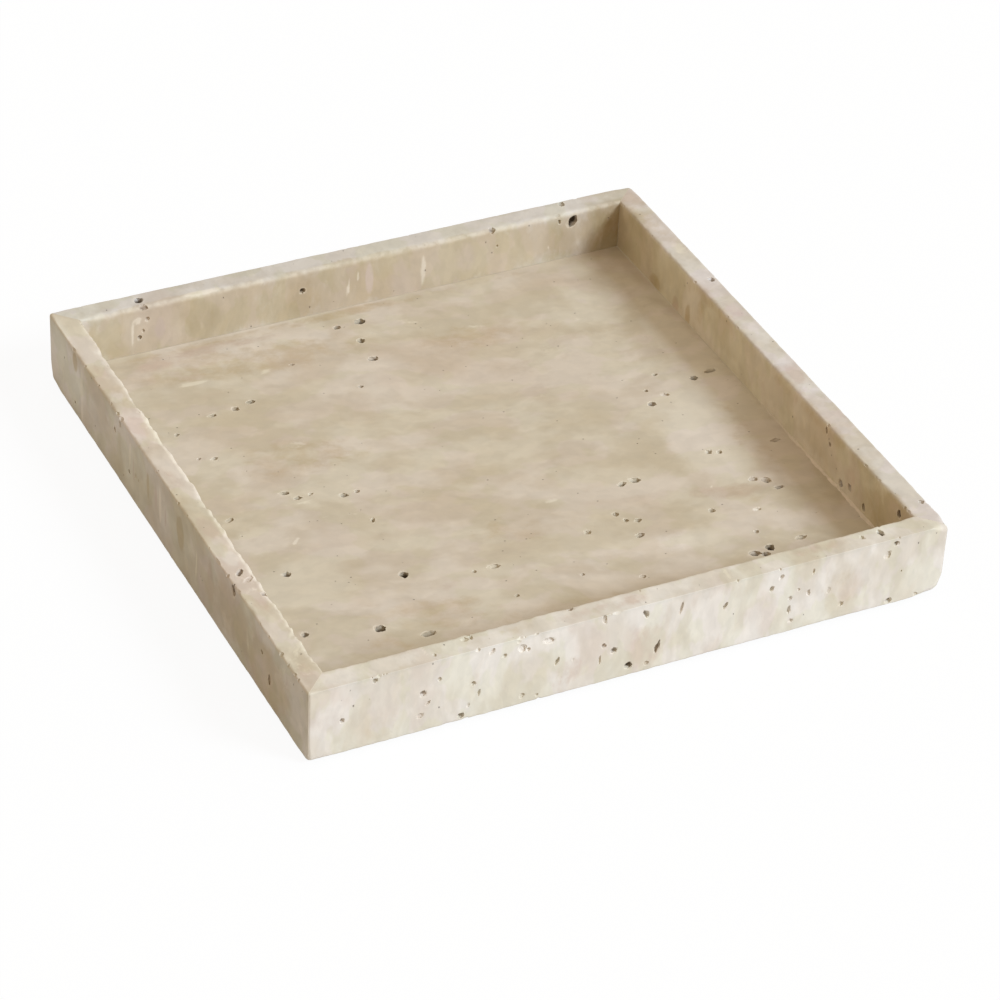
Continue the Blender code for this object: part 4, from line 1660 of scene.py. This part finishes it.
def stone_layers(tree, place, name, finish):
    """This stone's own layers."""
    _, seed, tan, rose, streak, flake, spread = stone_characters[name]
    place = scaled(tree, place, spread, 1.0, 1.0)
    patches = add_node(tree, "Attribute", attribute_name="patches").outputs
    tint = add_node(tree, "Attribute", attribute_name="tint").outputs["Color"]
    body = tuple(getattr(finish, name.split("_")[0] + "_stone"))
    inputs = {
        "Patches": patches["Color"],
        "Pale patch": patches["Alpha"],
        "Vector": place,
        "Seed": seed,
        "Tan share": tan,
        "Rose share": rose,
        "Streak share": streak,
        "Flake share": flake,
        "Body": shaded(tree, body, tint),
        "Cream": tuple(finish.cream),
    }
    return use_group(tree, "Travertine layers", inputs)


def honed_material(name, finish):
    """The honed face of a stone, with pin pores painted dark as shade, edges painted pale as partly
    rubbed wear and partly highlight, and a sawn underside.
    """
    material, tree, shader = new_material(name + "_honed")
    place = stone_coordinates(tree, name == "floor_slab")
    layers = stone_layers(tree, place, name, finish)
    inputs = {"Vector": place, "Porous": layers["Porous"], "Amount": 0.16}
    pores = use_group(tree, "Pin pores", inputs)
    inputs = {
        "Vector": place,
        "Color": layers["Color"],
        "Rubbed": tuple(finish.cream),
        "Near edge": point_value(tree, "near_edge"),
        "Near void": point_value(tree, "near_void"),
    }
    wear = use_group(tree, "Edge wear", inputs)
    inputs = {"Vector": place, "Sawn": point_value(tree, "underside")}
    saw = use_group(tree, "Saw marks", inputs)
    # Pin pores are painted towards the dark of the void depths: painted shade in holes too small to
    # cut.
    pored = blend(tree, times(tree, pores["Mask"], 0.6), wear["Color"], tuple(finish.deep))
    colour = blend(tree, times(tree, saw["Tint"], 0.18), pored, tuple(finish.cream))
    feed(tree, shader.inputs["Base Color"], colour)
    roughness = plus(tree, times(tree, layers["Sheen"], 0.2), 0.54)
    roughness = plus(tree, roughness, times(tree, pores["Mask"], 0.25))
    roughness = plus(tree, roughness, times(tree, wear["Mask"], 0.08))
    feed(tree, shader.inputs["Roughness"], roughness)
    height = plus(tree, times(tree, layers["Relief"], 0.3), pores["Depth"])
    height = plus(tree, height, times(tree, saw["Height"], 0.35))
    bumped(tree, shader, height, 0.00025)
    return material


def lining_material(name, finish):
    """The rough inside of a stone's voids and chips."""
    material, tree, shader = new_material(name + "_void")
    place = stone_coordinates(tree, name == "floor_slab")
    layers = stone_layers(tree, place, name, finish)
    inputs = {
        "Vector": place,
        "Color": layers["Color"],
        "Lip": tuple(finish.cream),
        "Deep": tuple(finish.deep),
        "Depth": point_value(tree, "void_depth"),
    }
    void = use_group(tree, "Void lining", inputs)
    feed(tree, shader.inputs["Base Color"], void["Color"])
    feed(tree, shader.inputs["Roughness"], plus(tree, times(tree, void["Height"], 0.2), 0.66))
    bumped(tree, shader, void["Height"], 0.00035)
    return material


def glue_material(name, colour, dusty):
    """Stone glue: cured resin filled with stone dust."""
    material, tree, shader = new_material(name)
    place = add_node(tree, "TexCoord").outputs["Object"]
    blotch = cloudy(tree, place, 160.0, 2.0, 4.0)
    dust = cloudy(tree, place, 2200.0, 7.0, 2.0)
    share = times(tree, remap(tree, blotch, 0.35, 0.7), 0.45)
    share = calc(tree, "MAXIMUM", share, point_value(tree, "dusty"))
    feed(tree, shader.inputs["Base Color"], blend(tree, share, tuple(colour), tuple(dusty)))
    feed(tree, shader.inputs["Roughness"], plus(tree, times(tree, dust, 0.3), 0.5))
    bumped(tree, shader, plus(tree, blotch, times(tree, dust, 0.3)), 0.0002)
    return material


def felt_material(finish):
    """Pressed wool felt."""
    material, tree, shader = new_material("felt")
    place = add_node(tree, "TexCoord").outputs["Object"]
    bend = cloudy(tree, place, 500.0, 1.0, 2.0)
    first = cloudy(tree, scaled(tree, place, 1.0, 0.12, 0.5), 3000.0, bend, 3.0, 0.6)
    second = cloudy(tree, scaled(tree, place, 0.12, 1.0, 0.5), 3000.0, bend, 3.0, 0.6)
    fibres = calc(tree, "MAXIMUM", first, second)
    pale = tuple(min(1.0, part * 1.5) for part in finish.felt[:3]) + (1.0,)
    colour = blend(tree, remap(tree, fibres, 0.45, 0.8), tuple(finish.felt), pale)
    feed(tree, shader.inputs["Base Color"], colour)
    feed(tree, shader.inputs["Roughness"], plus(tree, times(tree, fibres, 0.1), 0.86))
    shader.inputs["Sheen Weight"].default_value = 0.4
    bumped(tree, shader, fibres, 0.0004)
    return material


def seen_by_camera(tree):
    """Two masks: what the camera sees directly, and what it also sees by a gloss or glass."""
    rays = add_node(tree, "LightPath").outputs
    seen = calc(tree, "MAXIMUM", rays["Is Camera Ray"], rays["Is Glossy Ray"])
    return rays["Is Camera Ray"], calc(tree, "MAXIMUM", seen, rays["Is Transmission Ray"])


def ground_material():
    """A pale floor that the camera sees as white, with the tray's soft shadow on it."""
    material, tree = empty_material("ground")
    place = add_node(tree, "TexCoord").outputs["Object"]
    paper = cloudy(tree, place, 6.0, 0.0, 4.0)
    tone = blend(tree, paper, grey(0.54), grey(0.57))
    straight, seen = seen_by_camera(tree)
    tone = blend(tree, straight, tone, grey(0.97))
    matte = add_node(tree, "BsdfDiffuse", {"Color": tone}).outputs[0]
    glow = add_node(tree, "Emission", {"Color": grey(1.0), "Strength": 1.0}).outputs[0]
    clear = add_node(tree, "BsdfTransparent").outputs[0]
    lit = add_node(tree, "MixShader", {0: times(tree, seen, 0.93), 1: matte, 2: glow}).outputs[0]
    back = add_node(tree, "NewGeometry").outputs["Backfacing"]
    both = add_node(tree, "MixShader", {0: back, 1: lit, 2: clear}).outputs[0]
    add_node(tree, "OutputMaterial", {"Surface": both})
    return material


def put_wall_attributes(mesh, name, length, shape):
    """Gives a wall's points what its materials read: depth, edges painted pale as wear and
    highlight, saw marks, patches, and a tint that holds painted shade and light.
    """
    places = mesh_points(mesh)
    thick = shape.wall_thickness
    inset, height = places[:, 1], places[:, 2]
    depth = np.minimum.reduce([inset, thick - inset, height, stone_height - height])
    put_attribute(mesh, "void_depth", np.maximum(depth, 0))
    corner = length / 2 - np.abs(places[:, 0])
    top = stone_height - height
    wear = edge_wear[name]
    edges = (
        ("outer", np.hypot(inset, top), shape.arris_ease * wear["outer"][3]),
        ("inner", np.hypot(thick - inset, top), shape.arris_ease * wear["inner"][3]),
        ("foot", np.hypot(inset, height), shape.foot_ease * wear["foot"][3]),
        ("outer", np.hypot(inset, corner), shape.corner_radius),
    )
    # How pale each edge is painted: partly rubbed by handling, partly painted highlight.
    rubbed = [
        (1 - smooth_step((away - 0.4 * ease) / (0.8 * ease))) * wear[edge][4]
        for edge, away, ease in edges
    ]
    put_attribute(mesh, "near_edge", np.maximum.reduce(rubbed))
    put_attribute(mesh, "underside", 1 - smooth_step(height / sawn_reach))
    tints = wall_tints_and_shade(name, inset, height, thick)
    paint_patches(mesh, places, wall_patches(name, length, shape), tints)


class TRAY_OT_walls(bpy.types.Operator):
    """Builds the four mitred walls with their voids and chipped edges"""

    bl_idname = "tray.walls"
    bl_label = "Walls"

    def execute(self, context):
        shape = context.scene.tray_shape
        finish = context.scene.tray_finish
        for name, (_, _, turn) in wall_runs.items():
            length = tray_depth if turn % 2 else tray_width
            reach = (tray_width if turn % 2 else tray_depth) / 2 - box_margin
            points, faces = wall_solid(name, length, shape)
            blobs = wall_blobs(name, length, shape)
            honed = honed_material(name, finish)
            lining = lining_material(name, finish)
            mesh = carve(name, points, faces, blobs, honed, lining)
            put_wall_attributes(mesh, name, length, shape)
            angle = turn * pi / 2
            place = (reach * sin(angle), -reach * cos(angle), stone_bottom)
            stand_stone(name, mesh, angle, place)
        return {"FINISHED"}


class TRAY_OT_floor_slab(bpy.types.Operator):
    """Builds the floor slab with its voids"""

    bl_idname = "tray.floor_slab"
    bl_label = "Floor slab"

    def execute(self, context):
        shape = context.scene.tray_shape
        finish = context.scene.tray_finish
        width = tray_width - 2 * (shape.wall_thickness + shape.floor_joint)
        depth = tray_depth - 2 * (shape.wall_thickness + shape.floor_joint)
        thick = shape.floor_thickness
        points, faces = slab_solid(width, depth, thick)
        blobs = slab_blobs(width, depth, shape)
        honed = honed_material("floor_slab", finish)
        lining = lining_material("floor_slab", finish)
        mesh = carve("floor_slab", points, faces, blobs, honed, lining)
        places = mesh_points(mesh)
        plain = np.ones((len(places), 3))
        paint_patches(mesh, places, slab_patches(width, depth, shape), plain)
        height = places[:, 2]
        put_attribute(mesh, "void_depth", np.maximum(np.minimum(height, thick - height), 0))
        put_attribute(mesh, "near_edge", np.zeros(len(height)))
        put_attribute(mesh, "underside", 1 - smooth_step(height / sawn_reach))
        stand_stone("floor_slab", mesh, 0, (0, 0, stone_bottom))
        return {"FINISHED"}


class TRAY_OT_mitre_glue(bpy.types.Operator):
    """Builds the films of glue in the mitres"""

    bl_idname = "tray.mitre_glue"
    bl_label = "Mitre glue"

    def execute(self, context):
        shape = context.scene.tray_shape
        finish = context.scene.tray_finish
        front_glue = glue_material("front_mitre_glue", finish.front_stone, finish.cream)
        back_glue = glue_material("back_mitre_glue", finish.floor_stone, finish.left_stone)
        recess = shape.mitre_joint * film_recess_share
        for number, (corner, (side_x, side_y)) in enumerate(corner_sides.items()):
            out = Vector((side_x, side_y, 0)).normalized()
            across = Vector((-out.y, out.x, 0)) * (shape.mitre_joint / 2 * 1.02)
            corner_place = Vector((side_x * tray_width / 2, side_y * tray_depth / 2, 0))
            foot = shape.foot_ease * (1 + corner_foot_shares[corner])
            rim_ease = shape.arris_ease * corner_rim_shares[corner]
            rings = []
            for index in range(film_steps + 1):
                height = recess + (stone_height - 2 * recess) * index / film_steps
                inset = round_loss(foot, foot - height)
                inset += round_loss(rim_ease, height - stone_height + rim_ease)
                bend = max(corner_radius_at(corner, height, shape) - inset, 0)
                wave = abs(noise.noise((height / film_wave, number * 5.0, 1.0))) * recess
                outer = inset * sqrt(2) + bend * (sqrt(2) - 1) + recess + wave
                loss = round_loss(shape.arris_ease, height - stone_height + shape.arris_ease)
                inner = (shape.wall_thickness - loss) * sqrt(2) - recess
                ring = []
                for travel, side in ((outer, -1), (inner, -1), (inner, 1), (outer, 1)):
                    place = corner_place - out * travel + across * side
                    ring.append((place.x, place.y, stone_bottom + height))
                rings.append(ring)
            mesh = ring_mesh(corner + "_mitre_glue_film", rings)
            mesh.materials.append(front_glue if corner.startswith("front") else back_glue)
            film = show(mesh.name, mesh, corner + "_mitre_glue")
            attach(film, "root")
        return {"FINISHED"}


class TRAY_OT_floor_glue(bpy.types.Operator):
    """Builds the beads of glue where the floor meets the walls"""

    bl_idname = "tray.floor_glue"
    bl_label = "Floor glue"

    def execute(self, context):
        shape = context.scene.tray_shape
        finish = context.scene.tray_finish
        pale_glue = glue_material("pale_glue", finish.glue, finish.left_stone)
        dusty = tuple(part * dusty_glue_share for part in finish.floor_stone[:3]) + (1.0,)
        tan_glue = glue_material("tan_glue", dusty, finish.floor_stone)
        inner_x = tray_width / 2 - shape.wall_thickness
        inner_y = tray_depth / 2 - shape.wall_thickness
        sides = {
            "front": (-inner_y * y_axis, x_axis, y_axis, inner_x),
            "right": (inner_x * x_axis, y_axis, -x_axis, inner_y),
            "back": (inner_y * y_axis, x_axis, -y_axis, inner_x),
            "left": (-inner_x * x_axis, y_axis, x_axis, inner_y),
        }
        floor = stone_bottom + shape.floor_thickness
        root = -bead_root_share * shape.floor_thickness
        joint = shape.floor_joint
        for number, (side, (start, along, inward, reach)) in enumerate(sides.items()):
            share, lift = glue_bead_shares[side]
            rings = []
            dust = []
            count = round(2 * reach / bead_step)
            for index in range(count + 1):
                travel = (index / count * 2 - 1) * (reach - bead_end_gap)
                wave = noise.noise((travel / bead_wave, number * 3.0, 0.0))
                ripple = noise.noise((travel / bead_ripple, number * 3.0, 4.0))
                swell = 1 + 0.9 * wave + 0.7 * ripple
                thin = smooth((travel - bead_thin_start) / bead_thin_run) if side == "right" else 0
                swell *= 1 - bead_thin_share * thin
                width = max(joint * 1.1, bead_width * share * swell)
                rise = width * lift
                outline = [(0.0, root), (joint, root), (joint, -bead_sink), (width, -bead_sink)]
                outline += [(width * across, rise * up) for across, up in bead_section_shares]
                ring = []
                for inset, height in outline:
                    spot = start + along * travel + inward * inset
                    ring.append((spot.x, spot.y, floor + height))
                rings.append(ring)
                dust += [thin] * len(ring)
            mesh = ring_mesh(side + "_floor_glue_bead", rings)
            put_attribute(mesh, "dusty", dust)
            mesh.shade_smooth()
            mesh.set_sharp_from_angle(angle=bead_smooth_angle)
            mesh.materials.append(pale_glue if side == "right" else tan_glue)
            bead = show(mesh.name, mesh, side + "_floor_glue")
            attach(bead, "root")
        return {"FINISHED"}


class TRAY_OT_felt_pads(bpy.types.Operator):
    """Builds the four felt pads under the floor slab"""

    bl_idname = "tray.felt_pads"
    bl_label = "Felt pads"

    def execute(self, context):
        felt = felt_material(context.scene.tray_finish)
        turns = [2 * pi * spoke / pad_spokes for spoke in range(pad_spokes)]
        height = stone_bottom
        for number, corner in enumerate(corner_sides):
            low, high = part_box(corner + "_pad")
            middle = (low + high) / 2
            radius = (high.x - low.x) / 2
            rings = []
            for share, rise in pad_section_shares:
                ring = []
                for turn in turns:
                    fray = noise.noise((cos(turn) * 9, sin(turn) * 9, number * 4.0 + rise * 2))
                    fray = 1 + pad_fray_share * (fray - 0.5) * (share > 0.9)
                    reach = radius * share * fray
                    level = rise * height
                    if rise == 0:
                        spot = (cos(turn) * share * 5, sin(turn) * share * 5, number)
                        level += pad_dent_share * height * abs(noise.noise(spot))
                    ring.append((middle.x + reach * cos(turn), middle.y + reach * sin(turn), level))
                rings.append(ring)
            hubs = [(middle.x, middle.y, level) for level in (0.0, height)]
            mesh = ring_mesh(corner + "_felt_pad", rings, hubs)
            mesh.shade_smooth()
            mesh.materials.append(felt)
            pad = show(mesh.name, mesh, corner + "_pad")
            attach(pad, "root")
        return {"FINISHED"}


def toward(side, height):
    """The direction that lies this far round to the right of the front and this high."""
    return Vector((cos(height) * sin(side), -cos(height) * cos(side), sin(height)))


class TRAY_OT_studio(bpy.types.Operator):
    """Builds the pale floor, the soft light and the camera"""

    bl_idname = "tray.studio"
    bl_label = "Studio"

    def execute(self, context):
        scene = context.scene
        studio = scene.tray_studio
        bm = bmesh.new()
        bmesh.ops.create_circle(bm, cap_ends=True, radius=ground_radius, segments=96)
        mesh = bpy.data.meshes.new("ground")
        bm.to_mesh(mesh)
        bm.free()
        mesh.materials.append(ground_material())
        ground = bpy.data.objects.new("ground", mesh)
        scene.collection.objects.link(ground)

        lamp = bpy.data.lights.new("key_lamp", "SUN")
        lamp.energy = studio.key_strength
        lamp.angle = studio.key_softness
        lamp.color = lamp_colour
        key = bpy.data.objects.new("key_lamp", lamp)
        lamp_way = toward(studio.key_side, studio.key_height)
        key.location = lamp_way * lamp_distance
        key.rotation_euler = lamp_way.to_track_quat("Z", "Y").to_euler()
        scene.collection.objects.link(key)

        world = bpy.data.worlds.new("studio")
        scene.world = world
        world.use_nodes = True
        tree = world.node_tree
        tree.nodes.clear()
        _, seen = seen_by_camera(tree)
        inputs = {"Color": fill_colour, "Strength": studio.sky_strength}
        fill = add_node(tree, "Background", inputs).outputs[0]
        backdrop = add_node(tree, "Background", {"Color": grey(1.0), "Strength": 1.0}).outputs[0]
        both = add_node(tree, "MixShader", {0: seen, 1: fill, 2: backdrop}).outputs[0]
        add_node(tree, "OutputWorld", {"Surface": both})

        camera_data = bpy.data.cameras.new("camera")
        camera_data.lens = studio.camera_lens
        camera_data.sensor_width = 36.0
        camera = bpy.data.objects.new("camera", camera_data)
        scene.collection.objects.link(camera)
        camera_way = toward(-studio.camera_side, studio.camera_height)
        aim = camera_way.to_track_quat("Z", "Y").to_matrix()
        camera.rotation_euler = (aim @ Matrix.Rotation(studio.camera_roll, 3, "Z")).to_euler()
        camera.location = Vector(camera_target) + camera_way * studio.camera_distance
        scene.camera = camera
        scene.view_settings.view_transform = "Standard"
        return {"FINISHED"}


class TRAY_PT_builder(bpy.types.Panel):
    """The tray's sizes, colours and building steps"""

    bl_idname = "TRAY_PT_builder"
    bl_label = "Travertine Tray"
    bl_space_type = "VIEW_3D"
    bl_region_type = "UI"
    bl_category = "Tray"

    def draw(self, context):
        scene = context.scene
        for label, group in (
            ("Shape", scene.tray_shape),
            ("Finish", scene.tray_finish),
            ("Studio", scene.tray_studio),
        ):
            box = self.layout.box()
            box.label(text=label)
            for name in group.__annotations__:
                box.prop(group, name)
        for operator in operators:
            self.layout.operator(operator.bl_idname)


operators = (
    TRAY_OT_floor_slab,
    TRAY_OT_walls,
    TRAY_OT_mitre_glue,
    TRAY_OT_floor_glue,
    TRAY_OT_felt_pads,
    TRAY_OT_studio,
)
classes = (TrayShape, TrayFinish, TrayStudio, *operators, TRAY_PT_builder)


def register():
    for cls in classes:
        bpy.utils.register_class(cls)
    bpy.types.Scene.tray_shape = bpy.props.PointerProperty(type=TrayShape)
    bpy.types.Scene.tray_finish = bpy.props.PointerProperty(type=TrayFinish)
    bpy.types.Scene.tray_studio = bpy.props.PointerProperty(type=TrayStudio)


def unregister():
    del bpy.types.Scene.tray_studio
    del bpy.types.Scene.tray_finish
    del bpy.types.Scene.tray_shape
    for cls in reversed(classes):
        bpy.utils.unregister_class(cls)


def main():
    register()
    bpy.ops.tray.floor_slab()
    bpy.ops.tray.walls()
    bpy.ops.tray.mitre_glue()
    bpy.ops.tray.floor_glue()
    bpy.ops.tray.felt_pads()
    bpy.ops.tray.studio()
    bpy.context.view_layer.update()


if __name__ == "__main__":
    main()
